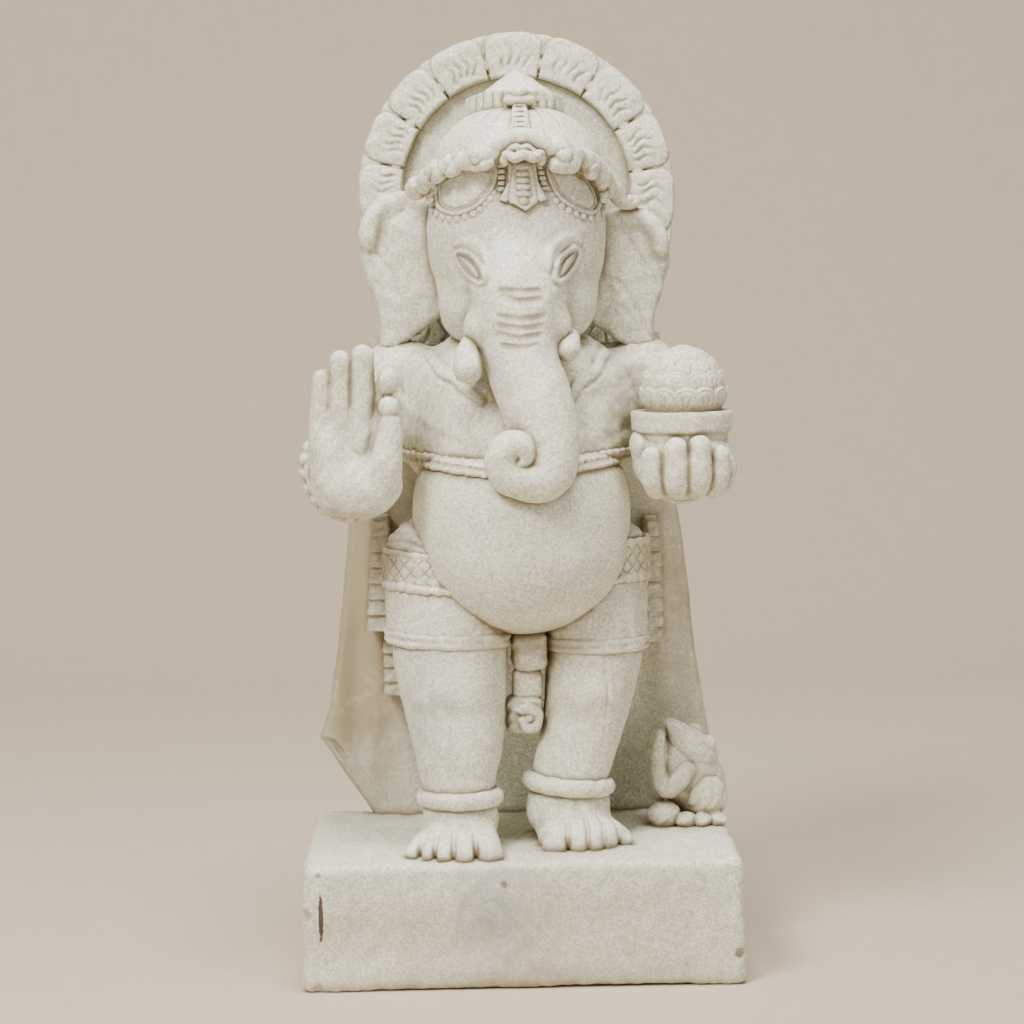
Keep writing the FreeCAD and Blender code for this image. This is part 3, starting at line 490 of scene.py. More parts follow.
EARS = {
    -1: [(-52, 497), (-67.1, 503.6), (-78.5, 503.9), (-90.9, 495.5), (-97.9, 483.5), (-99, 472),
         (-97.8, 459), (-92.8, 441.1),
         (-88.6, 427.9), (-86.5, 413.4), (-86.2, 403.5), (-81, 400.2), (-74.3, 402.7), (-60, 414.5),
         (-44, 426), (-40, 445), (-44, 480)],
    1: [(56, 484), (67.9, 490.2), (82.4, 491.7), (95.4, 485), (103.2, 472.5), (105.2, 457.5), (101.5, 443),
        (95.4, 426.2),
        (94, 410.4), (93.9, 398.5), (89.4, 392.8), (81.2, 397.2), (66, 408), (51, 420.3), (48, 440),
        (52, 465)],
}
EAR_RIMS = {
    -1: [(-54, 25, 494, 4.6), (-63, 24, 498.4, 4.9), (-74, 23, 499.4, 5.2), (-84, 22, 495.2, 5.6),
         (-90.6, 21, 487, 5.9),
         (-93.2, 20.5, 478, 6.0), (-93.6, 21, 472.5, 5.0)],
    1: [(60, 27, 483.5, 4.2), (70, 25, 486.4, 4.5), (80, 23.5, 487.8, 4.9), (89, 22.5, 485.2, 5.3),
        (95.6, 21.5, 478.4, 5.6),
        (98.8, 21, 470.6, 5.4), (98.6, 21, 465.8, 4.8)],
}
EAR_LINES = {
    -1: [[(-88, 465, 0.8), (-80, 452, 0.9), (-74, 436, 0.8)],
         [(-70, 492, 0.8), (-80, 484, 0.9), (-84, 470, 0.8)]],
    1: [[(60, 447, 0.8), (70, 444, 1.0), (76, 436, 0.9), (84, 420, 0.8), (90, 408, 0.7)],
        [(78, 470, 0.7), (90, 452, 0.8), (97, 440, 0.7)],
        [(72, 428, 0.6), (80, 418, 0.7), (84, 406, 0.6)]],
}


def ear(side):
    flap = rounded(EARS[side], 3)

    def shape(p):
        x, y, z = p
        edge = outline(x, z, flap)
        swell = 4.5 * np.clip(-edge / 22, 0, 1) ** 0.7
        face = 24.0 - swell - 0.05 * np.abs(x - side * 98) + 0.9 * np.sin(x / 9 + z / 13)
        d = both(edge, face - y, 4.5)
        d = both(d, y - 40, 5.0)
        d = join(d, rope(p, EAR_RIMS[side]), 4.0)
        for line in EAR_LINES[side]:
            d = d + cut(traced(x, z, line), 1.1, 0.9) * (y < 30)
        return d + rough(p, 0.4, 15, 40 + side)

    return shape


# ---- crown ----
PLAQUES = {
    -1: [(-46.3, 512.6), (-49.1, 503), (-46.7, 494.3), (-37, 489.8), (-24.5, 492.8), (-15.2, 500.2),
         (-10, 509.5), (-9, 519.6), (-29, 519.5)],
    1: [(23.2, 520), (24.9, 509.2), (30.4, 498.9), (40.4, 492.0), (52, 488.6), (57.8, 494.5), (56, 505.5),
        (49, 515), (33, 520)],
}


def inset(points, amount):
    q = np.array(rounded(points, 3))
    middle = q.mean(0)
    away = q - middle
    return middle + away * (1 - amount / np.linalg.norm(away, axis=1))[:, None]


def plaques(p):
    d = None
    for side in (-1, 1):
        plate = both(outline(p[0], p[2], inset(PLAQUES[side], 4.2)), skull(p) - 2.6, 2.0)
        plate = np.maximum(plate, p[1] - 20)
        d = plate if d is None else np.minimum(d, plate)
    return d + rough(p, 0.12, 9, 51)


def closed_rope(p, points, radius, sink):
    ring = [tuple(q) + (radius,) for q in points]
    return rope(p, laid(skull, ring + ring[:1], sink, -10), 1)


def plaque_rims(p):
    parts = []
    for side in (-1, 1):
        parts.append(closed_rope(p, inset(PLAQUES[side], 1.0), 1.9, 0.35))
        parts.append(closed_rope(p, inset(PLAQUES[side], 3.9), 1.1, -0.6))
    return any_of(parts)


def plaque_beads(p):
    parts = []
    for side, (first, last) in ((-1, (172, 352)), (1, (186, 372))):
        q = np.array(inset(PLAQUES[side], -2.9))
        middle = q.mean(0)
        angle = np.degrees(np.arctan2(q[:, 1] - middle[1], q[:, 0] - middle[0])) % 360
        for a in np.linspace(first, last, 15):
            near = q[np.argmin(np.abs((angle - a % 360 + 180) % 360 - 180))]
            spot = laid(skull, [(near[0], near[1], 2.4)], 0.62, -10)[0]
            parts.append(egg(p, (spot[0], spot[1] + 0.7, spot[2]), (3.3, 2.2, 2.8)))
    for top, low in (((-5.8, 520.5), (-6.2, 505.5)), ((18.2, 519), (21.6, 505.5))):
        for i in range(5):
            x, z = top[0] + (low[0] - top[0]) * i / 4, top[1] + (low[1] - top[1]) * i / 4
            spot = laid(skull, [(x, z, 2.0)], 0.2)[0]
            parts.append(brick(p, spot[:3], (2.3, 2.2, 1.5), 0.9))
    return any_of(parts)


BAND = (
    [(-61.0, 4, 506.0, 7.4), (-60.0, -5, 508.0, 7.0)],
    [(-56, -12, 508, 5.0), (-53, -19, 514.5, 6.2), (-47.5, -25, 520.0, 5.4)],
    [(-48, -26.5, 512.2, 3.4), (-43.5, -31, 518.0, 5.0), (-38.4, -34.5, 524.2, 5.0)],
    [(-39, -35.5, 515.6, 3.2), (-34, -38.5, 520.5, 4.8), (-30, -40, 525.6, 4.8)],
    [(-28, -40, 522.6, 5.6), (-22.5, -44.5, 526.4, 7.2), (-15, -46.5, 527.6, 6.2), (-9, -47, 528.8, 4.6)],
    [(-24, -45, 519.8, 3.2), (-18.6, -48, 520.6, 4.0), (-13.4, -48.6, 523.0, 3.6)],
    [(-11.5, -46, 528.0, 4.8), (-5.6, -48, 534.4, 5.8), (6.1, -49, 538.2, 6.2), (17.6, -48, 535.4, 5.8),
     (25, -46, 531, 5.2)],
    [(22, -46, 531.0, 5.4), (31.0, -44.5, 531.4, 7.0), (38.6, -41, 527.0, 7.6), (37.2, -42, 521.0, 7.0),
     (29.0, -46, 520.6, 5.6)],
    [(41.5, -36, 527.5, 5.0), (47, -33, 525.6, 6.0), (51.8, -29, 520.4, 6.4), (51.5, -30, 514.8, 5.0)],
    [(52.5, -25, 522.6, 5.2), (57.4, -19, 516.6, 6.2), (58.8, -17, 510, 5.6)],
    [(60.5, -10, 514.5, 5.4), (63.4, -3, 508.6, 5.6), (64, 3, 503.0, 4.8)],
    [(64, 7, 509.5, 5.0), (68.4, 13, 503.6, 5.8), (72.4, 16, 496.8, 4.8), (78.6, 17.5, 494.6, 3.8),
     (82, 18, 496.2, 3.8)],
)


def crown_band(p):
    parts = [rope(p, line) for line in BAND]
    d = parts[0]
    for part in parts[1:]:
        d = join(d, part, 0.5)
    turn = np.arctan2(p[1] - 14, p[0] - 5.5)
    lobes = np.abs(np.sin(turn * 15 + p[2] * 0.16)) ** 0.5
    away = np.clip((np.abs(p[0] - 6) - 20) / 10, 0, 1)
    return d + 1.1 * (1 - lobes) * away + rough(p, 0.35, 11, 61)


def crown_scrolls(p):
    coils = ((-21.6, -49.6, 524.6, 3.2), (33.6, -48.0, 526.4, 5.2), (52.2, -33.6, 518.4, 3.0),
             (-60.6, -9.4, 507.6, 3.4),
             (78.2, 15.6, 497.8, 3.0))
    d = any_of([egg(p, (x, y, z), (r * 1.15, r * 0.8, r)) for x, y, z, r in coils])
    return d + rough(p, 0.25, 6, 66)


def crown_knot(p):
    upper = rope(p, [(-1.5, -52, 529.2, 2.0), (2.4, -54, 531.8, 2.4), (6.2, -54.6, 530.8, 2.1),
                     (10.6, -54.6, 531.6, 2.4),
                     (14.6, -53, 529.0, 1.9)])
    lower = rope(p, [(-4.4, -51, 523.2, 3.0), (-2.6, -53.4, 527.4, 2.8), (2.4, -55.8, 525.2, 3.2),
                     (8.4, -56.4, 527.0, 3.2),
                     (14.2, -55, 525.0, 3.4), (18.6, -52, 527.4, 2.8), (19.4, -50.5, 522.6, 2.6)])
    return np.minimum(upper, lower) + rough(p, 0.3, 5, 62)


PENDANT = [(-1.8, 522), (15.8, 522), (17.4, 510), (23.2, 498.4), (16, 496.4), (9, 491.4), (2.2, 495.6),
           (-7.8, 498.6), (-1.6, 510)]


def pendant(p):
    d = both(outline(p[0], p[2], PENDANT), skull(p) - 4.0, 1.4)
    d = np.maximum(d, p[1] + 20)
    groove = np.minimum(np.abs(p[0] - 1.2 + (522 - p[2]) * 0.13), np.abs(p[0] - 13.4 - (522 - p[2]) * 0.16))
    return d + 0.9 * np.exp(-(groove / 0.8) ** 2)


def pendant_beads(p):
    parts = []
    for i in range(6):
        z = 519.4 - 4.3 * i
        y = float(front(skull, [(7.2, z)])[0])
        parts.append(egg(p, (7.1 + 0.15 * i, y - 4.2, z), (4.6 + (0.5 if i in (3, 4) else 0)
                                                           - (1.2 if i == 5 else 0), 2.6, 2.5)))
    return any_of(parts)


def crown_strap(p):
    x, y, z = p
    across = np.abs(x - 6.8)
    half = 6.9 - 0.12 * (z - 541)
    bead = np.abs(np.sin((z - 541) * (math.pi / 3.4))) ** 0.6 * np.clip(1 - (across / 3.7) ** 2, 0, 1)
    relief = 2.6 + 1.7 * np.exp(-((across - half + 1.3) / 1.0) ** 2) + 2.0 * bead
    d = both(across - half, skull(p) - relief, 1.2)
    d = np.maximum(both(d, 535 - z, 1.0), y + 4)
    clasp = join(egg(p, (6.8, -9, 562.6), (10.5, 6.0, 4.6)), egg(p, (6.8, -10.5, 567.6), (6.0, 5.0, 3.8)),
                 0.8)
    return np.minimum(d, clasp) + rough(p, 0.2, 7, 65)


RING_X, RING_Y = 4.4, 26.0


def crown_ring(p):
    x, y, z = local(p, (RING_X, RING_Y, 559.0))
    z = z + 0.16 * y
    r = np.sqrt(x * x + y * y)
    a = np.arctan2(y, x)
    ribs = 2.1 * np.abs(np.cos(a * 13)) ** 0.6
    return both(r - 30.2 - ribs, np.abs(z + 4) - 9.6, 2.0) + rough(p, 0.35, 12, 63)


def crown_finial(p):
    x, y, z = local(p, (RING_X + 1.4, RING_Y - 2, 565))
    r = np.sqrt(x * x + y * y)
    slope = (r - 27 * np.clip(1 - z / 18.2, 0, 1) ** 0.85) * 0.62
    slope = np.minimum(slope, both(r - 29.0, np.abs(z + 1.5) - 3.2, 2.0))
    return both(slope, -z - 4, 2.0) + rough(p, 0.25, 12, 64)


def skull_lines(p):
    """The combed lines of the cap above the band."""
    a = np.arctan2(p[1] - 13, p[0] - 5.5)
    seam = np.abs(np.sin(a * 11 + 0.5 * np.sin(p[2] / 6)))
    lines = 1.0 * np.exp(-(seam / 0.11) ** 2) * (0.7 + 0.3 * np.sin(a * 5 + p[2] / 4))
    return both(egg(p, (5.5, 14, 520), (54.9, 54.4, 41.0)) + lines, 519 - p[2], 0.5)


# ---- arms and hands ----
PALM = [(-128, 372), (-131, 357), (-128.4, 338.8), (-124.9, 321.4), (-117.7, 308.8), (-109.8, 302),
        (-96.1, 300), (-84.4, 305),
        (-76.4, 316), (-73, 333), (-75, 352), (-84, 368), (-96, 374), (-112, 376)]


def right_hand(p):
    x, y, z = p
    palm = both(outline(x, z, PALM), np.abs(y + 50) - 13.5 + 0.05 * (z - 300), 13.0)
    d = palm
    d = join(d, egg(p, (-99, -52, 318), (24, 16.5, 18)), 10)
    d = join(d, egg(p, (-118, -50, 330), (13, 14, 30)), 8)
    for a, b, r0, r1, k in (((-125.0, -53, 346), (-121.8, -54.5, 387.6), 7.2, 6.4, 1.0),
                            ((-112, -55, 344), (-110, -56.5, 398.6), 7.4, 7.0, 1.0),
                            ((-98.2, -55, 344), (-96.0, -57, 401.4), 8.2, 7.6, 1.0)):
        d = join(d, bar(p, a, b, r0, r1), k)
    for line in ([(-117.2, -69, 398, 1.0), (-118.6, -68.5, 372, 1.3), (-119, -66.6, 352, 1.2),
                  (-118.6, -66, 336, 0.6)],
                 [(-103.4, -70, 400, 1.0), (-105.0, -69.5, 374, 1.3), (-105.6, -67.6, 352, 1.2),
                  (-105.4, -67, 330, 0.6)]):
        d = carve(d, rope(p, line), 1.6)
    d = join(d, rope(p, [(-90, -50, 356, 8), (-86.5, -50, 370, 7.5), (-83, -52, 380, 7)]), 2.5)
    thumb = rope(p, [(-88, -58, 318, 12), (-83, -62, 332, 10.8), (-80.2, -63.5, 348, 8.4),
                     (-79.4, -64, 360, 6.8)])
    d = join(d, thumb, 5.0)
    tips = np.minimum(egg(p, (-79.8, -64.5, 369.6), (6.7, 6.6, 7.2)),
                      egg(p, (-80.2, -61.5, 385.8), (6.9, 7.0, 9.6)))
    d = join(d, tips, 0.8)
    d = carve(d, rope(p, [(-90, -69, 366, 0.9), (-91, -68, 352, 1.2), (-95, -69.5, 340, 1.0)]), 2.5)
    return d + rough(p, 0.3, 14, 71)


def right_forearm(p):
    d = egg(p, (-107.4, -20, 329.5), (30.8, 20, 32.5))
    d = join(d, bar(p, (-109, 4, 322), (-107, -22, 324), 17.5, 22), 8)
    for i, degrees in enumerate(range(118, 300, 17)):
        a = math.radians(degrees)
        spot = (-107.4 + 27.0 * math.cos(a), -31.5, 329 + (28.5 if a < math.pi else 31.5) * math.sin(a))
        d = join(d, egg(p, spot, (5.4, 6.5, 5.0 + 0.6 * math.sin(2.3 * i))), 1.4)
    return d + rough(p, 0.5, 14, 72)


def left_forearm(p):
    d = bar(p, (108, 4, 321), (108.5, -22, 322), 17.5, 19)
    return d + rough(p, 0.4, 14, 73)


def bangles(p):
    a = hoop(p, (-107.5, -36, 328), 25.6, 2.8, spin("X", 90))
    b = hoop(p, (108.4, -10, 321), 18.6, 3.4, spin("X", 90))
    return np.minimum(a, b) + rough(p, 0.3, 9, 74)


BOWL_X, BOWL_Y = 107.4, -33.0


def bowl(p):
    x, y, z = local(p, (BOWL_X, BOWL_Y, 354.4))
    r = np.sqrt(x * x + y * y)
    rim = both(r - 32.4 - 0.06 * z + 0.3 * np.sin(4 * np.arctan2(y, x)), np.abs(z - 1) - 7.0, 3.2)
    body = both(r - 29.6 + 0.018 * np.minimum(z + 8, 0) ** 2, np.abs(z + 18) - 14, 2.0)
    return join(rim, body, 1.0) + rough(p, 0.3, 18, 81)


def left_hand(p):
    d = egg(p, (107.5, -38, 331), (32.5, 27, 25.6))
    d = np.maximum(d, p[2] - 349)
    d = join(d, egg(p, (80.5, -36, 341), (6.8, 18, 10)), 4)
    for x, y, top, r in ((86.8, -58, 341.5, 7.0), (101.7, -63, 347.8, 7.7), (116.6, -63, 348.6, 7.2),
                         (129.9, -57, 341.4, 6.6)):
        d = join(d, rope(p, [(x + (108 - x) * 0.16, y + 11, 306.5 + r, r + 0.2),
                             (x + (108 - x) * 0.03, y + 1, 321, r + 0.7),
                             (x, y - 1, top - r, r - 0.2)]), 0.8)
    d = join(d, rope(p, [(133.0, -44, 314, 5.2), (136.4, -46, 323, 5.2), (136.0, -46, 330, 4.8)]), 1.0)
    return d + rough(p, 0.25, 12, 82)


def sweet_heap(p):
    d = egg(p, (BOWL_X + 1.4, BOWL_Y, 373), (26.2, 26.2, 28.6))
    return np.maximum(d, 350 - p[2])


def heap_scales(p):
    parts = []
    for row, (rise, count, size) in enumerate(((-8, 12, 9.0), (13, 12, 8.8), (33, 10, 8.8), (53, 8, 8.2),
                                               (71, 4, 8.2), (88, 1, 7.6))):
        up = math.radians(rise)
        for i in range(count):
            turn = 2 * math.pi * (i + 0.5 * (row % 2)
                                  + 0.13 * math.sin(5.1 * i + row)) / count - math.pi / 2
            c = (BOWL_X + 1.4 + 26.0 * math.cos(up) * math.cos(turn),
                 BOWL_Y + 26.0 * math.cos(up) * math.sin(turn), 373 + 28.4 * math.sin(up))
            axes = np.array([(math.cos(up) * math.cos(turn), math.cos(up) * math.sin(turn), math.sin(up)),
                             (-math.sin(turn), math.cos(turn), 0),
                             (-math.sin(up) * math.cos(turn), -math.sin(up) * math.sin(turn),
                              math.cos(up))], np.float32)
            tip = math.radians(14)
            lean = np.array([axes[0] * math.cos(tip) - axes[2] * math.sin(tip), axes[1],
                             axes[2] * math.cos(tip) + axes[0] * math.sin(tip)], np.float32)

            def shape(s, c=c, lean=lean, size=size, row=row, i=i):
                u, v, w = local(s, c, lean)
                flat = np.sqrt(v * v + np.maximum(w, 0) ** 2 + (np.minimum(w, 0) * 0.6) ** 2) - size
                d = both(flat, np.abs(u + 0.022 * (v * v + w * w)) - 1.7, 1.0)
                veins = np.abs(np.abs(v - 0.8 * math.sin(i * 2.1)) - 0.26 * (w + size * 0.8))
                vein = 0.6 * np.exp(-(veins / 0.6) ** 2) * np.clip((size * 0.5 - w) / 2, 0, 1)
                return d + vein + cut(np.abs(flat + 1.6), 0.6, 0.5)

            parts.append(culled(p, np.array(c) - 9, np.array(c) + 9, 3.0, shape))
    return np.maximum(any_of(parts), 360 - p[2])


# ---- cloth ----
def thigh(side):
    if side < 0:
        spine = [(-41, 2, 300, 42), (-43, -2, 270, 42), (-45, -8, 240, 41), (-45.4, -13, 216, 40)]
    else:
        spine = [(46, 5, 300, 38), (49, 3, 270, 37), (51, 0, 240, 35), (52, -2, 214, 33.5)]

    def shape(p):
        d = rope(p, spine)
        d = np.maximum(d, 213.0 + (0 if side < 0 else -4.0) - p[2])
        top = 299 - 0.42 * np.maximum(p[0] * side - 44,
                                      0) - 0.25 * np.maximum(-10 - p[1],
                                                             0) + 1.6 * np.sin(p[1] / 5 + p[0] / 9)
        d = both(d, p[2] - top, 9.0)
        for k in range(4):
            z0 = 279 + 6 * k
            edge = np.abs(p[2] - z0 - 0.10 * (p[0] - side * 80) * side - 1.5 * np.sin(p[1] / 6 + k))
            d = d + 0.9 * np.exp(-(edge / 1.1) ** 2)
        pleat = np.sin(np.arctan2(p[1] - spine[2][1], (p[0] - spine[2][0]) * side) * 14)
        d = d - 0.5 * pleat * np.clip((p[0] * side - 62) / 12, 0,
                                      1) * np.clip((252 - p[2]) / 8, 0, 1) * (1 if side > 0 else 0.4)
        weave = np.sin(p[2] * 1.1 + p[0] * 0.5) * np.sin(p[0] * 0.9 - p[2] * 0.4)
        return d + 0.18 * weave + rough(p, 0.3, 12, 90 + side)

    return shape


def level_ring(p, side, z0, grow, radius):
    """A flattened cord round one thigh at a height."""
    if side < 0:
        cx, cy, big = -45.2 + 0.03 * (z0 - 216), -13 + 0.17 * (z0 - 216), 40.2 + 0.03 * (z0 - 216)
    else:
        cx, cy, big = 51.8 - 0.035 * (z0 - 214), -2 + 0.08 * (z0 - 214), 33.6 + 0.055 * (z0 - 214)
    x, y, z = p
    r = np.sqrt((x - cx) ** 2 + (y - cy) ** 2)
    slope = (x - cx) * (-0.045 if side < 0 else 0.0)
    return np.sqrt((r - big - grow) ** 2 + (z - z0 - slope) ** 2) - radius


def hems(p):
    parts = []
    for side, z0 in ((-1, 216.5), (1, 210)):
        low, high = level_ring(p, side, z0 - 2.6, -0.8, 2.3), level_ring(p, side, z0 + 2.0, -1.6, 3.0)
        parts.append(join(low, high, 2.0))
    return any_of(parts) + rough(p, 0.5, 14, 95)


def hip_bands(p):
    parts = []
    for side, low, high in ((-1, 251, 270.5), (1, 255, 276.5)):
        middle = (low + high) / 2
        x, y, z = p
        cx, cy, big = (-44.2, -4, 42.0) if side < 0 else (49.6, 3, 37.6)
        r = np.sqrt((x - cx) ** 2 + (y - cy) ** 2)
        a = np.arctan2(y - cy, (x - cx) * side)
        strap = both(both(r - big - 1.0, big - 6 - r, 1.0), np.abs(z - middle) - (high - low) / 2, 1.4)
        net = np.minimum(np.abs(np.sin(a * 13 + (z - middle) * 0.33)),
                         np.abs(np.sin(a * 13 - (z - middle) * 0.33)))
        strap = strap + 0.9 * np.exp(-(net / 0.18) ** 2) * (np.abs(z - middle) < (high - low) / 2 - 1.5)
        beaded = level_ring(p, side, low - 1.6, -0.4, 2.9) - 0.3 * np.cos(a * 40)
        line = level_ring(p, side, high + 0.4, -0.2, 1.8)
        parts.append(join(join(strap, beaded, 1.6), line, 1.6))
    return any_of(parts) + rough(p, 0.4, 11, 96)


def sash(p):
    upper = join(brick(p, (7.4, -13, 206), (11.6, 12, 12.6), 6.5), egg(p, (7.6, -22, 203), (9.6, 4.6, 9.0)),
                 3)
    top = carve(upper, rope(p, [(-1.2, -26, 218, 0.8), (-2.0, -26, 205, 1.0), (-0.4, -26, 195, 0.8)]), 1.2)
    middle = join(brick(p, (5.8, -11, 184), (9.8, 10, 10), 4.6), egg(p, (6.6, -18.5, 184), (7.4, 4.0, 8.0)),
                  2)
    middle = carve(middle, rope(p, [(1.0, -22, 192, 0.7), (2.6, -23, 184, 0.9), (1.0, -22, 176, 0.7)]), 1.0)
    end = brick(p, (3.4, -11, 164), (11.8, 12, 12), 5.0)
    curl = rope(p, [(-5.5, -22, 171, 3.0), (1, -24, 168.6, 3.6), (7.4, -25, 169, 3.8),
                    (12.6, -24, 164.6, 3.6), (11.4, -24, 158, 3.4),
                    (5.0, -25, 156.2, 3.4), (2.6, -25, 161, 3.0)])
    end = join(end, curl, 1.0)
    end = join(end, egg(p, (6.6, -24.4, 162.6), (3.2, 2.6, 3.0)), 0.6)
    return any_of([top, middle, end]) + rough(p, 0.5, 10, 97)


TASSELS = ((-89, -92, 6.2, 288, 213, 36, 7), (-84.5, -82.2, 5.4, 206, 168, 46, 4),
           (92.5, 92.5, 5.0, 284, 203, 34, 8))


def tassels(p):
    parts = []
    for x0, x1, half, top, low, y0, steps in TASSELS:
        x, y, z = p
        share = np.clip((top - z) / (top - low), 0, 1)
        mid = x0 + (x1 - x0) * share
        saw = (share * steps) % 1
        wide = half * (0.82 + 0.3 * share) + 0.9 * saw
        face = y0 + 3.4 - 2.4 * saw
        d = both(both(np.abs(x - mid) - wide, face - y, 2.0), y - 80, 2.0)
        parts.append(both(d, np.abs(z - (top + low) / 2) - (top - low) / 2, 1.6))
    return any_of(parts) * 0.8 + rough(p, 0.3, 9, 98)


# ---- legs and feet ----
LEGS = {
    -1: [(-45, -13, 222, 38.4), (-44.2, -17, 205, 37.2), (-43.2, -21, 190, 35.4), (-41.6, -26, 169, 31.8),
         (-40.0, -31, 150, 29.4),
         (-40.2, -35, 132, 25.0), (-39.6, -37, 118, 22.6), (-39.4, -38, 104, 21.6)],
    1: [(51.5, -2, 216, 32.4), (50, -4, 200, 31.4), (47.7, -6, 186, 29.6), (44.6, -8, 168, 27.6),
        (39.6, -10, 148, 26.0),
        (34.2, -13, 128, 25.2), (32.4, -15, 110, 24.2)],
}
TOES = {
    -1: ((-21.4, -79, 8.6), (-37.0, -81.5, 7.2), (-50.0, -80.5, 6.0), (-60.8, -78, 5.2), (-70.0, -73, 4.9)),
    1: ((21.6, -57, 8.6), (36.0, -57, 6.9), (47.8, -54, 5.8), (57.8, -49, 5.3), (67.2, -43, 5.0)),
}


def leg(side):
    def shape(p):
        d = rope(p, LEGS[side])
        if side < 0:
            d = join(d, egg(p, (-43, -36, 183), (22, 20, 15)), 10)
            d = join(d, egg(p, (-39, -38, 98), (23.4, 25, 20)), 8)
            d = join(d, egg(p, (-42.6, -58, 86), (28.5, 26, 15)), 9)
            heel, foot, ankle_x = (-39, -18, 88), (18, 16, 12), -38
        else:
            d = join(d, egg(p, (46.5, -20, 180), (19, 18, 14)), 10)
            d = join(d, egg(p, (31, -16, 100), (27.5, 26, 21)), 8)
            d = join(d, egg(p, (39.4, -38, 87), (28.5, 24, 15)), 9)
            heel, foot, ankle_x = (27, 2, 88), (19, 17, 12), 33
        d = join(d, egg(p, heel, foot), 6)
        for x, y, r in TOES[side]:
            root = (x + (ankle_x - x) * 0.30, y + 25, 91.5 - 0.04 * abs(x - ankle_x))
            ray = rope(p, [(*root, r + 0.6), (x + (ankle_x - x) * 0.08, y + 9, 87.6, r + 0.2),
                           (x, y - 0.5, 84.6, r)])
            d = join(d, ray, 2.2)
        for (xa, ya, ra), (xb, yb, rb) in zip(TOES[side], TOES[side][1:]):
            share = ra / (ra + rb)
            gap_x, gap_y = xa + (xb - xa) * share, ya + (yb - ya) * share
            inward = gap_x + (ankle_x - gap_x) * 0.24
            line = [(gap_x, gap_y - 16, 0.3), (gap_x, gap_y - 2, 0.3),
                    ((gap_x + inward) / 2, gap_y + 8, 0.1), (inward, gap_y + 15, 0.0)]
            d = d + cut(traced(p[0], p[1], line), 1.5, 2.3) * np.clip((gap_y + 17 - p[1]) / 14, 0, 1)
        d = np.maximum(d, 78 - p[2])
        return d + rough(p, 0.4, 24, 100 + side) + rough(p, 0.12, 7, 103)

    return shape


def anklets(p):
    a = hoop(p, (-39, -38, 114.6), 22.6, 5.7)
    b = hoop(p, (32, -15.5, 118.4), 24.6, 5.8, spin("Y", 6.0))
    return np.minimum(a, b) + rough(p, 0.35, 13, 104)


# ---- mouse ----
def mouse_body(p):
    d = egg(p, (119.6, 46, 104.5), (20.2, 22, 25.5), spin("Y", -6))
    d = join(d, egg(p, (119, 40, 124), (13.5, 14, 14)), 7)
    d = join(d, egg(p, (105, 37, 118), (14.5, 14, 24)), 5)
    return np.maximum(d, 78 - p[2]) + rough(p, 0.5, 12, 111)


def mouse_head(p):
    d = rope(p, [(122, 37, 126.5, 12.0), (115.4, 34, 133.0, 11.4), (108.4, 31, 140.2, 8.4),
                 (103.8, 29, 146.2, 5.6), (101.6, 28.5, 149.2, 3.8)])
    d = join(d, egg(p, (127.4, 31, 134.6), (5.0, 4.0, 5.8), spin("Y", -30)), 1.4)
    d = join(d, egg(p, (119, 46, 141), (5.4, 4.2, 5.0)), 1.4)
    d = carve(d, hoop(p, (112.0, 21.8, 137.4), 2.3, 0.6, spin("X", 90)), 0.5)
    d = carve(d, bar(p, (98.6, 24.6, 144.0), (108, 22.2, 134.6), 0.7, 0.6), 0.8)
    return d + rough(p, 0.3, 9, 112)


def mouse_limbs(p):
    d = egg(p, (126.4, 28, 98.5), (13.2, 11, 15.0), spin("Y", 12))
    d = join(d, egg(p, (94.4, 32, 120), (8.4, 9.6, 25)), 3.0)
    d = join(d, rope(p, [(112, 29, 117, 8.0), (105.0, 25.0, 109.5, 7.6), (98.4, 23.0, 105.6, 6.4),
                         (94.0, 22.6, 112.4, 5.6)]), 3.0)
    d = join(d, rope(p, [(94.0, 22.6, 110, 5.4), (92.6, 22.8, 124, 4.8), (93.4, 24.0, 135, 4.2),
                         (95.2, 25.4, 142, 3.2)]), 1.6)
    for x in (90.6, 93.4, 96.2):
        d = carve(d, bar(p, (x, 15.4, 133), (x + 1.2, 19.6, 143), 0.6, 0.5), 0.7)
    feet = any_of([egg(p, (96.5, 24, 88), (11.5, 11, 9.4)), egg(p, (111.0, 19, 85.2), (7.6, 8.6, 5.6)),
                   egg(p, (121.8, 17, 85), (6.2, 8.2, 5.2)),
                   egg(p, (132.2, 19, 85), (6.0, 7.6, 5.0))])
    return np.maximum(join(d, feet, 1.4), 78 - p[2]) + rough(p, 0.45, 10, 113)


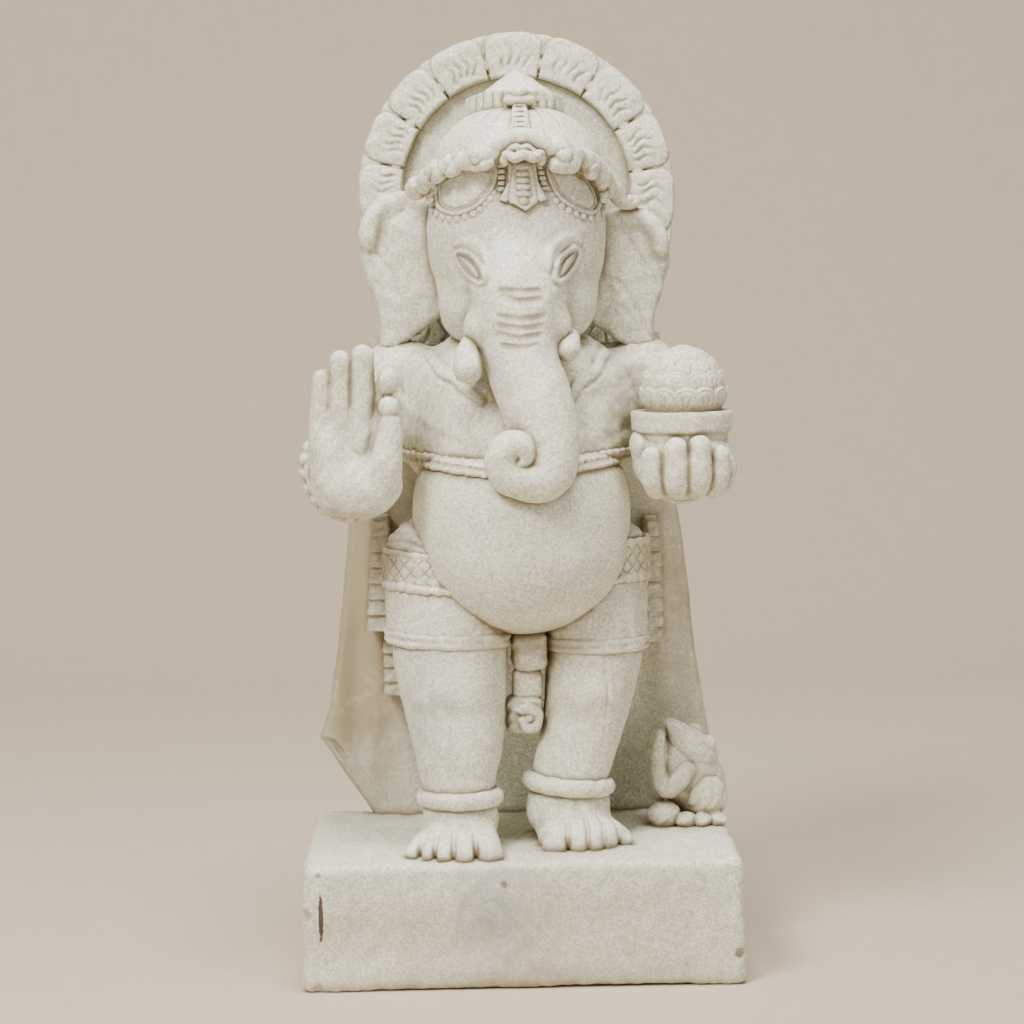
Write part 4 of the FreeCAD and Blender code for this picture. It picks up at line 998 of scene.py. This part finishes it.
# name, field, low corner, high corner, cell size (all mm), then the CAD nodes it stands for,
# which are left out where the only one has the piece's own name
PIECES = (
    ("plinth", plinth, (-141, -97, -2), (141, 97, 85), 1.7),
    ("mantle", mantle, (-138, 70, 76), (140, 94, 410), 1.5),
    ("back_core", back_core, (-58, 45, 205), (68, 79, 395), 3.0),
    ("halo_plate", halo_plate, (-103, 66, 395), (114, 94, 612), 1.25),
    ("halo_petals", halo_petals, (-104, 61, 400), (115, 80, 613), 0.85),
    ("halo_petal_tips", halo_tips, (-104, 66, 400), (115, 79, 612), 1.0),
    ("belly", belly, (-70, -83, 214), (78, 62, 348), 1.3),
    ("torso", torso, (-134, -64, 296), (130, 80, 424), 1.35,
     "chest", "shoulders", "right_upper_arm", "left_upper_arm"),
    ("chest_cord", chest_cord, (-76, -88, 318), (80, 40, 342), 0.8),
    ("head", head, (-60, -104, 301), (68, 78, 566), 0.95, "head", "trunk", "trunk_curl", "brows"),
    ("eyes", eyes, (-40, -56, 444), (48, -20, 470), 0.6),
    ("right_tusk", right_tusk, (-42, -68, 380), (-16, -32, 418), 0.7),
    ("left_tusk", left_tusk, (25, -62, 392), (46, -30, 418), 0.7),
    ("right_ear", ear(-1), (-102, 10, 396), (-38, 43, 509), 0.85, "right_ear", "ear_rims"),
    ("left_ear", ear(1), (46, 10, 388), (108, 43, 497), 0.85, "left_ear", "ear_rims"),
    ("skull_cap", skull_lines, (-52, -44, 517), (63, 72, 564), 0.7),
    ("crown_ring", crown_ring, (-30, -9, 538), (39, 61, 573), 0.75),
    ("crown_finial", crown_finial, (-27, -8, 556), (38, 57, 586), 0.8),
    ("crown_band", crown_band, (-71, -60, 488), (88, 26, 546), 0.75),
    ("crown_scrolls", crown_scrolls, (-66, -56, 490), (86, 22, 536), 0.6),
    ("crown_knot", crown_knot, (-10, -64, 516), (26, -44, 538), 0.6),
    ("crown_strap", crown_strap, (-5, -56, 534), (19, 4, 575), 0.6),
    ("forehead_pendant", pendant, (-11, -62, 488), (27, -34, 526), 0.65),
    ("pendant_beads", pendant_beads, (0, -62, 490), (15, -38, 525), 0.55),
    ("plaques", plaques, (-54, -56, 484), (63, 6, 524), 0.8),
    ("plaque_rims", plaque_rims, (-54, -58, 484), (64, 8, 526), 0.6),
    ("plaque_beads", plaque_beads, (-58, -58, 482), (68, 12, 526), 0.6),
    ("right_hand", right_hand, (-137, -76, 296), (-68, -32, 413), 0.85,
     "right_palm", "right_fingers", "right_thumb"),
    ("right_forearm", right_forearm, (-140, -44, 294), (-74, 24, 365), 1.2),
    ("left_forearm", left_forearm, (86, -44, 298), (130, 24, 344), 1.3),
    ("bangles", bangles, (-140, -42, 294), (134, -2, 360), 1.0),
    ("bowl", bowl, (72, -68, 318), (143, 2, 366), 0.9),
    ("left_hand", left_hand, (70, -74, 301), (143, -8, 352), 0.85, "left_palm", "left_fingers"),
    ("sweet_heap", sweet_heap, (80, -62, 348), (138, -4, 404), 1.0),
    ("heap_scales", heap_scales, (77, -66, 358), (141, 0, 406), 0.65),
    ("right_thigh_cloth", thigh(-1), (-90, -58, 210), (3, 50, 306), 1.3),
    ("left_thigh_cloth", thigh(1), (6, -42, 206), (92, 48, 306), 1.3),
    ("hems", hems, (-91, -60, 206), (91, 40, 226), 0.9),
    ("hip_bands", hip_bands, (-94, -54, 243), (96, 48, 282), 0.8),
    ("right_leg", leg(-1), (-86, -95, 76), (-4, 28, 226), 1.05, "right_leg", "right_foot", "toes"),
    ("left_leg", leg(1), (0, -74, 76), (86, 34, 220), 1.05, "left_leg", "left_foot", "toes"),
    ("anklets", anklets, (-70, -69, 105), (66, 18, 131), 0.9),
    ("sash", sash, (-11, -32, 149), (22, 3, 221), 0.75),
    ("tassels", tassels, (-103, 28, 164), (102, 84, 292), 0.85),
    ("mouse_body", mouse_body, (90, 20, 76), (142, 70, 142), 0.9),
    ("mouse_head", mouse_head, (94, 18, 110), (137, 56, 156), 0.7),
    ("mouse_limbs", mouse_limbs, (82, 6, 76), (142, 44, 150), 0.75),
)


# ---- skinning ----
def in_threads(shape, points):
    """shape at an (N, 3) array of points, worked out in slices."""
    size = 48000
    slices = [points[i:i + size] for i in range(0, len(points), size)]
    work = lambda s: np.asarray(shape(tuple(np.ascontiguousarray(s[:, i]) for i in range(3))), np.float32)
    return np.concatenate(list(THREADS.map(work, slices))) if slices else np.zeros(0, np.float32)


def sampled(shape, low, high, step):
    """The field on a grid: exact near the surface, and only its sign elsewhere."""
    low = np.array(low, np.float32)
    blocks = np.maximum(np.ceil((np.array(high) - low) / (step * BLOCK)), 1).astype(int)
    size = step * BLOCK
    axes = [low[i] + size * (np.arange(blocks[i]) + 0.5) for i in range(3)]
    centres = np.stack(np.meshgrid(*axes, indexing="ij"), -1).reshape(-1, 3).astype(np.float32)
    coarse = in_threads(shape, centres).reshape(blocks)
    busy = np.abs(coarse) < size * 0.87 * 1.35 + 1.5
    busy |= coarse >= FAR - 1
    mask, grid = busy, np.where(coarse < 0, -FAR, FAR).astype(np.float32)
    for axis in range(3):
        mask = mask.repeat(BLOCK, axis)
        grid = grid.repeat(BLOCK, axis)
    mask, grid = np.pad(mask, ((0, 1),) * 3), np.pad(grid, ((0, 1),) * 3, mode="edge")
    for axis in range(3):
        ahead = np.moveaxis(mask, axis, 0)
        ahead[1:] |= ahead[:-1].copy()
    where = np.argwhere(mask)
    grid[mask] = in_threads(shape, low + where.astype(np.float32) * np.float32(step))
    for axis in range(3):
        edge = np.moveaxis(grid, axis, 0)
        edge[0] = np.maximum(edge[0], step * 0.5)
        edge[-1] = np.maximum(edge[-1], step * 0.5)
    return grid, low


CORNERS = [(i, j, k) for i in (0, 1) for j in (0, 1) for k in (0, 1)]
EDGES = [(a, b) for a in CORNERS for b in CORNERS if sum(b) == sum(a)
         + 1 and all(y >= x for x, y in zip(a, b))]


def skinned(grid, low, step):
    """Vertices and quads on the zero level of a grid, one vertex in each cell it passes through."""
    inside = grid < 0
    n = np.array(grid.shape) - 1
    at = lambda a, c: a[c[0]:c[0] + n[0], c[1]:c[1] + n[1], c[2]:c[2] + n[2]]
    count = sum(at(inside, c).astype(np.int8) for c in CORNERS)
    cells = np.argwhere((count > 0) & (count < 8))
    number = np.full(n, -1, np.int64)
    number[tuple(cells.T)] = np.arange(len(cells))
    value = {c: at(grid, c)[tuple(cells.T)] for c in CORNERS}
    total, hits = np.zeros((len(cells), 3)), np.zeros(len(cells))
    for a, b in EDGES:
        fa, fb = value[a], value[b]
        cross = (fa < 0) != (fb < 0)
        t = np.where(cross, fa / np.where(cross, fa - fb, 1), 0)
        spot = np.array(a) + t[:, None] * (np.array(b) - np.array(a))
        total += np.where(cross[:, None], spot, 0)
        hits += cross
    verts = low + (cells + total / hits[:, None]) * step
    quads = []
    for axis in range(3):
        u, v = (axis + 1) % 3, (axis + 2) % 3
        s = np.moveaxis(inside, axis, 0)
        change = np.moveaxis(s[1:] != s[:-1], 0, axis)
        e = np.argwhere(change)
        e = e[(e[:, u] > 0) & (e[:, v] > 0) & (e[:, u] < n[u]) & (e[:, v] < n[v])]
        du, dv = np.eye(3, dtype=int)[u], np.eye(3, dtype=int)[v]
        ring = [number[tuple((e - a).T)] for a in (du + dv, dv, 0 * du, du)]
        quad = np.stack(ring, 1)
        starts_inside = inside[tuple(e.T)]
        quad[~starts_inside] = quad[~starts_inside][:, ::-1]
        quads.append(quad)
    return verts, np.concatenate(quads)


TETRA = np.array([(1, -1, -1), (-1, -1, 1), (-1, 1, -1), (1, 1, 1)], np.float32)


def slope(shape, verts, reach):
    """Value and gradient of the field at each vertex."""
    values = [in_threads(shape, (verts + reach * k).astype(np.float32)) for k in TETRA]
    gradient = sum(v[:, None] * k for v, k in zip(values, TETRA)) / (4 * reach)
    return sum(values) / 4, gradient


def settled(shape, verts, step):
    """Vertices moved onto the surface, with the direction they face."""
    for _ in range(2):
        value, gradient = slope(shape, verts, np.float32(step * 0.3))
        size = np.maximum((gradient ** 2).sum(1), 0.04)
        move = np.clip(value / size, -step * 0.5, step * 0.5)
        verts = verts - move[:, None] * gradient
    normal = gradient / np.maximum(np.linalg.norm(gradient, axis=1), 1e-6)[:, None]
    return verts, normal


def shut_in(verts, normal):
    """How much stone stands close in front of each vertex, 0 in the open to 1 deep in a cut: a mask of
    painted crevice shade mixed with dirt.
    """
    shade_and_dirt = np.zeros(len(verts), np.float32)
    for reach, weight in ((1.6, 0.45), (4.5, 0.35), (11.0, 0.2)):
        spots = (verts + normal * reach).astype(np.float32)
        nearest = np.full(len(verts), np.float32(reach))
        for _, shape, low, high, *_ in PIECES:
            close = np.all((spots > np.array(low) - reach) & (spots < np.array(high) + reach), 1)
            if close.any():
                nearest[close] = np.minimum(nearest[close], in_threads(shape, spots[close]))
        shade_and_dirt += weight * np.clip(1 - nearest / reach, 0, 1.3)
    return shade_and_dirt


def mesh_of(name, verts, quads, shade_and_dirt):
    mesh = bpy.data.meshes.new(name)
    mesh.vertices.add(len(verts))
    mesh.vertices.foreach_set("co", (ORIGIN + verts * MM).astype(np.float32).ravel())
    mesh.loops.add(quads.size)
    mesh.loops.foreach_set("vertex_index", quads.astype(np.int32).ravel())
    mesh.polygons.add(len(quads))
    mesh.polygons.foreach_set("loop_start", np.arange(0, quads.size, 4, dtype=np.int32))
    mesh.update(calc_edges=True)
    mesh.polygons.foreach_set("use_smooth", np.ones(len(quads), bool))
    # the mask of painted crevice shade and dirt, kept on the points for the marble
    layer = mesh.attributes.new("shade_and_dirt", "FLOAT", "POINT")
    layer.data.foreach_set("value", shade_and_dirt.astype(np.float32))
    mesh.update()
    piece = bpy.data.objects.new(name, mesh)
    bpy.context.scene.collection.objects.link(piece)
    return piece


# ---- stone ----
def link(tree, source, target):
    tree.links.new(source, target)


def node(tree, kind, **values):
    made = tree.nodes.new(kind)
    for key, value in values.items():
        if key in made.inputs:
            made.inputs[key].default_value = value
        else:
            setattr(made, key, value)
    return made


def ramp(tree, source, stops):
    made = tree.nodes.new("ShaderNodeValToRGB")
    band = made.color_ramp
    band.elements[0].position, band.elements[0].color = stops[0][0], stops[0][1]
    band.elements[1].position, band.elements[1].color = stops[-1][0], stops[-1][1]
    for position, colour in stops[1:-1]:
        band.elements.new(position).color = colour
    link(tree, source, made.inputs["Fac"])
    return made.outputs["Color"]


def grey(v):
    return (v, v, v, 1)


def mixed(tree, amount, a, b, how="MIX"):
    made = tree.nodes.new("ShaderNodeMix")
    made.data_type, made.blend_type = "RGBA", how
    for socket, value in ((made.inputs[0], amount), (made.inputs[6], a), (made.inputs[7], b)):
        if isinstance(value, bpy.types.NodeSocket):
            link(tree, value, socket)
        else:
            socket.default_value = value
    return made.outputs[2]


def maths(tree, how, a, b=0.0, clamp=False):
    made = tree.nodes.new("ShaderNodeMath")
    made.operation, made.use_clamp = how, clamp
    for socket, value in ((made.inputs[0], a), (made.inputs[1], b)):
        if isinstance(value, bpy.types.NodeSocket):
            link(tree, value, socket)
        else:
            socket.default_value = value
    return made.outputs[0]


def blob(tree, where, centre, radii):
    """1 at a place, fading to 0 at the given distances, in mm."""
    shift = tree.nodes.new("ShaderNodeMapping")
    shift.vector_type = "TEXTURE"
    shift.inputs["Location"].default_value = [ORIGIN[i] + centre[i] * MM for i in range(3)]
    shift.inputs["Scale"].default_value = [r * MM for r in radii]
    link(tree, where, shift.inputs["Vector"])
    size = tree.nodes.new("ShaderNodeVectorMath")
    size.operation = "LENGTH"
    link(tree, shift.outputs[0], size.inputs[0])
    return maths(tree, "SUBTRACT", 1.0, size.outputs["Value"], True)


WHITE = (0.825, 0.812, 0.675, 1)
SHADE = (0.73, 0.712, 0.57, 1)
CREAM = (0.70, 0.645, 0.455, 1)
BLUE_GREY = (0.40, 0.415, 0.405, 1)
# patina brown, also used as the colour of painted crevice shade
PATINA_AND_SHADE = (0.27, 0.205, 0.11, 1)
# brown of stains and of painted shade at the listed places
BROWN_STAIN_AND_SHADE = (0.40, 0.335, 0.215, 1)
RUST = (0.07, 0.022, 0.012, 1)


def marble():
    made = bpy.data.materials.new("marble")
    made.use_nodes = True
    tree = made.node_tree
    shader = tree.nodes["Principled BSDF"]
    where = tree.nodes.new("ShaderNodeTexCoord").outputs["Object"]

    def pattern(scale, detail, rough=0.55, bend=0.0):
        made_noise = node(tree, "ShaderNodeTexNoise", Scale=scale, Detail=detail, Roughness=rough,
                          Distortion=bend)
        link(tree, where, made_noise.inputs["Vector"])
        return made_noise.outputs["Fac"]

    def patches(places):
        total = None
        for centre, radii, strength in places:
            here = maths(tree, "MULTIPLY", blob(tree, where, centre, radii), strength)
            total = here if total is None else maths(tree, "MAXIMUM", total, here)
        return total

    cloud = pattern(14, 5, 0.6, 0.6)
    colour = mixed(tree, ramp(tree, cloud, ((0.38, grey(0)), (0.68, grey(1)))), WHITE, SHADE)
    stain = ramp(tree, pattern(31, 4, 0.65, 0.4), ((0.52, grey(0)), (0.75, grey(0.55))))
    colour = mixed(tree, stain, colour, CREAM)

    grains = node(tree, "ShaderNodeTexVoronoi", Scale=820.0)
    link(tree, where, grains.inputs["Vector"])
    grain = ramp(tree, grains.outputs["Color"], ((0.18, grey(0.78)), (0.82, grey(1.14))))
    colour = mixed(tree, 1.0, colour, grain, "MULTIPLY")
    speck = ramp(tree, pattern(520, 2), ((0.32, grey(0.80)), (0.60, grey(1.07))))
    colour = mixed(tree, 1.0, colour, speck, "MULTIPLY")

    mottle = ramp(tree, pattern(46, 6, 0.7, 1.4), ((0.36, grey(0)), (0.66, grey(1))))
    veins = maths(tree, "MULTIPLY", patches(GREY_PLACES), mottle)
    everywhere = ramp(tree, pattern(8, 5, 0.6, 2.2), ((0.47, grey(0)), (0.505, grey(0.16)),
                                                      (0.54, grey(0))))
    veins = maths(tree, "ADD", veins, everywhere, True)
    colour = mixed(tree, veins, colour, BLUE_GREY)

    # brown stains mixed with painted shade: painted shade under the arms and hands, on the mantle behind
    # the body, at the feet and along the plinth front
    drift = ramp(tree, pattern(38, 6, 0.7, 0.8), ((0.32, grey(0.5)), (0.66, grey(1.1))))
    colour = mixed(tree, maths(tree, "MULTIPLY", patches(BROWN_STAIN_AND_SHADE_PLACES), drift, True), colour, BROWN_STAIN_AND_SHADE)

    # painted crevice shade mixed with dirt: the occlusion mask darkens hollows and creases towards the
    # patina colour
    shade_and_dirt = node(tree, "ShaderNodeAttribute", attribute_name="shade_and_dirt").outputs["Fac"]
    patchy = maths(tree, "MULTIPLY", shade_and_dirt, ramp(tree, pattern(70, 4, 0.7),
                                                ((0.30, grey(0.55)), (0.70, grey(1.25)))))
    shade_and_soil = ramp(tree, patchy, ((0.05, grey(0)), (0.22, grey(0.36)), (0.60, grey(0.85))))
    colour = mixed(tree, shade_and_soil, colour, PATINA_AND_SHADE)

    pits = node(tree, "ShaderNodeTexVoronoi", Scale=120.0)
    link(tree, where, pits.inputs["Vector"])
    pit = ramp(tree, pits.outputs["Distance"], ((0.035, grey(1)), (0.06, grey(0))))
    rare = ramp(tree, pits.outputs["Color"], ((0.80, grey(0)), (0.84, grey(0.7))))
    colour = mixed(tree, maths(tree, "MULTIPLY", pit, rare), colour, RUST)
    for centre, radii, strength in RUST_PLACES:
        edge = maths(tree, "ADD", blob(tree, where, centre, radii),
                     maths(tree, "MULTIPLY", pattern(260, 4, 0.7), 0.9))
        mark = maths(tree, "MULTIPLY", ramp(tree, edge, ((0.74, grey(0)), (0.90, grey(1)))), strength)
        colour = mixed(tree, mark, colour, RUST)

    link(tree, colour, shader.inputs["Base Color"])
    link(tree, ramp(tree, pattern(90, 3), ((0.3, grey(0.46)), (0.7, grey(0.62)))),
         shader.inputs["Roughness"])
    shader.inputs["Subsurface Weight"].default_value = 0.07
    shader.inputs["Subsurface Radius"].default_value = (0.006, 0.0042, 0.0028)
    shader.inputs["Subsurface Scale"].default_value = 1.0
    shader.inputs["Specular IOR Level"].default_value = 0.42

    fine = node(tree, "ShaderNodeBump", Strength=0.30, Distance=0.00035)
    link(tree, grains.outputs["Distance"], fine.inputs["Height"])
    worked = node(tree, "ShaderNodeBump", Strength=0.55, Distance=0.0007)
    link(tree, pattern(150, 4, 0.6), worked.inputs["Height"])
    link(tree, fine.outputs["Normal"], worked.inputs["Normal"])
    link(tree, worked.outputs["Normal"], shader.inputs["Normal"])
    return made


GREY_PLACES = (((-56, -40, 170), (24, 44, 80), 1.15), ((-50, 0, 372), (26, 60, 30), 0.45),
               ((-16, -95, 44), (42, 30, 62), 1.35), ((40, -60, 84), (70, 60, 14), 0.4),
               ((-100, -60, 345), (24, 30, 32), 0.30), ((-84, 25, 455), (16, 30, 34), 0.32),
               ((-6, 0, 130), (16, 70, 50), 0.6))
# places of brown stain and painted shade: beside the arms and under the hands, beside the hips, under the
# belly, on the chest behind the trunk, on the mantle behind the body, round the mouse, at the feet, on the
# plinth front and foot, and on the halo behind the head
BROWN_STAIN_AND_SHADE_PLACES = (((-62, -30, 352), (24, 46, 50), 0.85), ((72, -20, 352), (22, 50, 50), 0.7),
                ((-78, 0, 262), (26, 60, 44), 0.9),
                ((84, 0, 262), (24, 60, 44), 0.8), ((108, 40, 108), (44, 60, 40), 0.85),
                ((0, -40, 84), (100, 62, 12), 0.7),
                ((3, -30, 214), (60, 60, 22), 0.7), ((-105, 78, 240), (72, 50, 240), 1.9),
                ((112, 78, 240), (62, 50, 230), 1.0), ((0, -98, 36), (230, 60, 70), 0.55),
                ((-106, -45, 300), (40, 40, 12), 0.7), ((0, -95, 2), (200, 36, 26), 1.1),
                ((108, -40, 306), (34, 34, 12), 0.5),
                ((5, -45, 372), (60, 50, 34), 0.35), ((0, 74, 500), (130, 40, 150), 0.12))
RUST_PLACES = (((-128.6, -95, 48), (2.6, 9, 21), 0.95), ((-12.5, -95, 68), (3.2, 6, 4.2), 0.6),
               ((-130, -92, 76), (4, 6, 3), 0.6))


# ---- assembly ----
def build():
    stone = marble()
    for name, shape, low, high, step, *nodes in PIECES:
        nodes = nodes or [name]
        step = step * COARSEN
        grid, corner = sampled(shape, low, high, step)
        verts, quads = skinned(grid, corner, step)
        verts, normal = settled(shape, verts, step)
        piece = mesh_of(name, verts, quads, shut_in(verts, normal))
        piece.data.materials.append(stone)
        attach(piece, "root")
        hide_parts(*nodes)
        print(f"{name}: {len(quads)} quads")


def stage_set():
    """A pale seamless floor that rises behind the figure."""
    profile = [(-3.2, 0.0), (1.2, 0.0)]
    profile += [(1.2 + 0.9 * math.sin(math.radians(a)), 0.9 - 0.9 * math.cos(math.radians(a)))
                for a in range(6, 91, 6)]
    profile += [(2.1, 4.5)]
    verts = [(x, y, z + plinth_low.z) for y, z in profile for x in (-5.0, 5.0)]
    faces = [(2 * i, 2 * i + 1, 2 * i + 3, 2 * i + 2) for i in range(len(profile) - 1)]
    mesh = bpy.data.meshes.new("floor")
    mesh.from_pydata(verts, [], faces)
    mesh.polygons.foreach_set("use_smooth", [True] * len(faces))
    floor = bpy.data.objects.new("floor", mesh)
    bpy.context.scene.collection.objects.link(floor)
    paper = bpy.data.materials.new("paper")
    paper.use_nodes = True
    tree = paper.node_tree
    where = tree.nodes.new("ShaderNodeTexCoord").outputs["Object"]
    weave = node(tree, "ShaderNodeTexNoise", Scale=60.0, Detail=5.0)
    link(tree, where, weave.inputs["Vector"])
    tone = ramp(tree, weave.outputs["Fac"], ((0.3, (0.525, 0.435, 0.325, 1)),
                                             (0.7, (0.550, 0.458, 0.345, 1))))
    shader = tree.nodes["Principled BSDF"]
    link(tree, tone, shader.inputs["Base Color"])
    shader.inputs["Roughness"].default_value = 0.9
    shader.inputs["Specular IOR Level"].default_value = 0.1
    mesh.materials.append(paper)


def area_light(name, place, target, size, power, colour):
    lamp = bpy.data.lights.new(name, "AREA")
    lamp.shape, lamp.size, lamp.size_y = "RECTANGLE", size[0], size[1]
    lamp.energy, lamp.color = power, colour
    made = bpy.data.objects.new(name, lamp)
    made.location = place
    made.rotation_euler = (Vector(target) - Vector(place)).to_track_quat("-Z", "Y").to_euler()
    bpy.context.scene.collection.objects.link(made)


def lights():
    middle = (0.0, 0.0, 0.33)
    area_light("key", (-1.2, -1.7, 2.4), middle, (0.9, 0.9), 112, (1.0, 0.99, 0.94))
    area_light("fill", (1.8, -2.2, 0.9), middle, (1.6, 1.6), 15, (1.0, 0.985, 0.965))
    area_light("top", (0.15, -0.5, 2.6), middle, (1.1, 0.9), 82, (1.0, 0.99, 0.955))
    world = bpy.data.worlds.new("room")
    world.use_nodes = True
    world.node_tree.nodes["Background"].inputs["Color"].default_value = (0.92, 0.90, 0.86, 1)
    world.node_tree.nodes["Background"].inputs["Strength"].default_value = 0.31
    bpy.context.scene.world = world


def camera():
    yaw, pitch, roll = 0.0164, 0.0958, -0.0163
    ahead = Vector((math.sin(yaw) * math.cos(pitch), math.cos(yaw) * math.cos(pitch), -math.sin(pitch)))
    right = Vector((math.cos(yaw), -math.sin(yaw), 0))
    up = right.cross(ahead)
    right, up = math.cos(roll) * right + math.sin(roll) * up, -math.sin(roll) * right + math.cos(roll) * up
    lens = bpy.data.cameras.new("camera")
    lens.lens, lens.sensor_width = 114.96, 36.0
    lens.clip_end = 30
    made = bpy.data.objects.new("camera", lens)
    spot = Vector(ORIGIN) + Vector((-37, -2130, 500)) * MM
    made.matrix_world = Matrix((
        (right.x, up.x, -ahead.x, spot.x), (right.y, up.y, -ahead.y, spot.y),
                                (right.z, up.z, -ahead.z, spot.z), (0, 0, 0, 1)))
    bpy.context.scene.collection.objects.link(made)
    bpy.context.scene.camera = made


build()
stage_set()
lights()
camera()
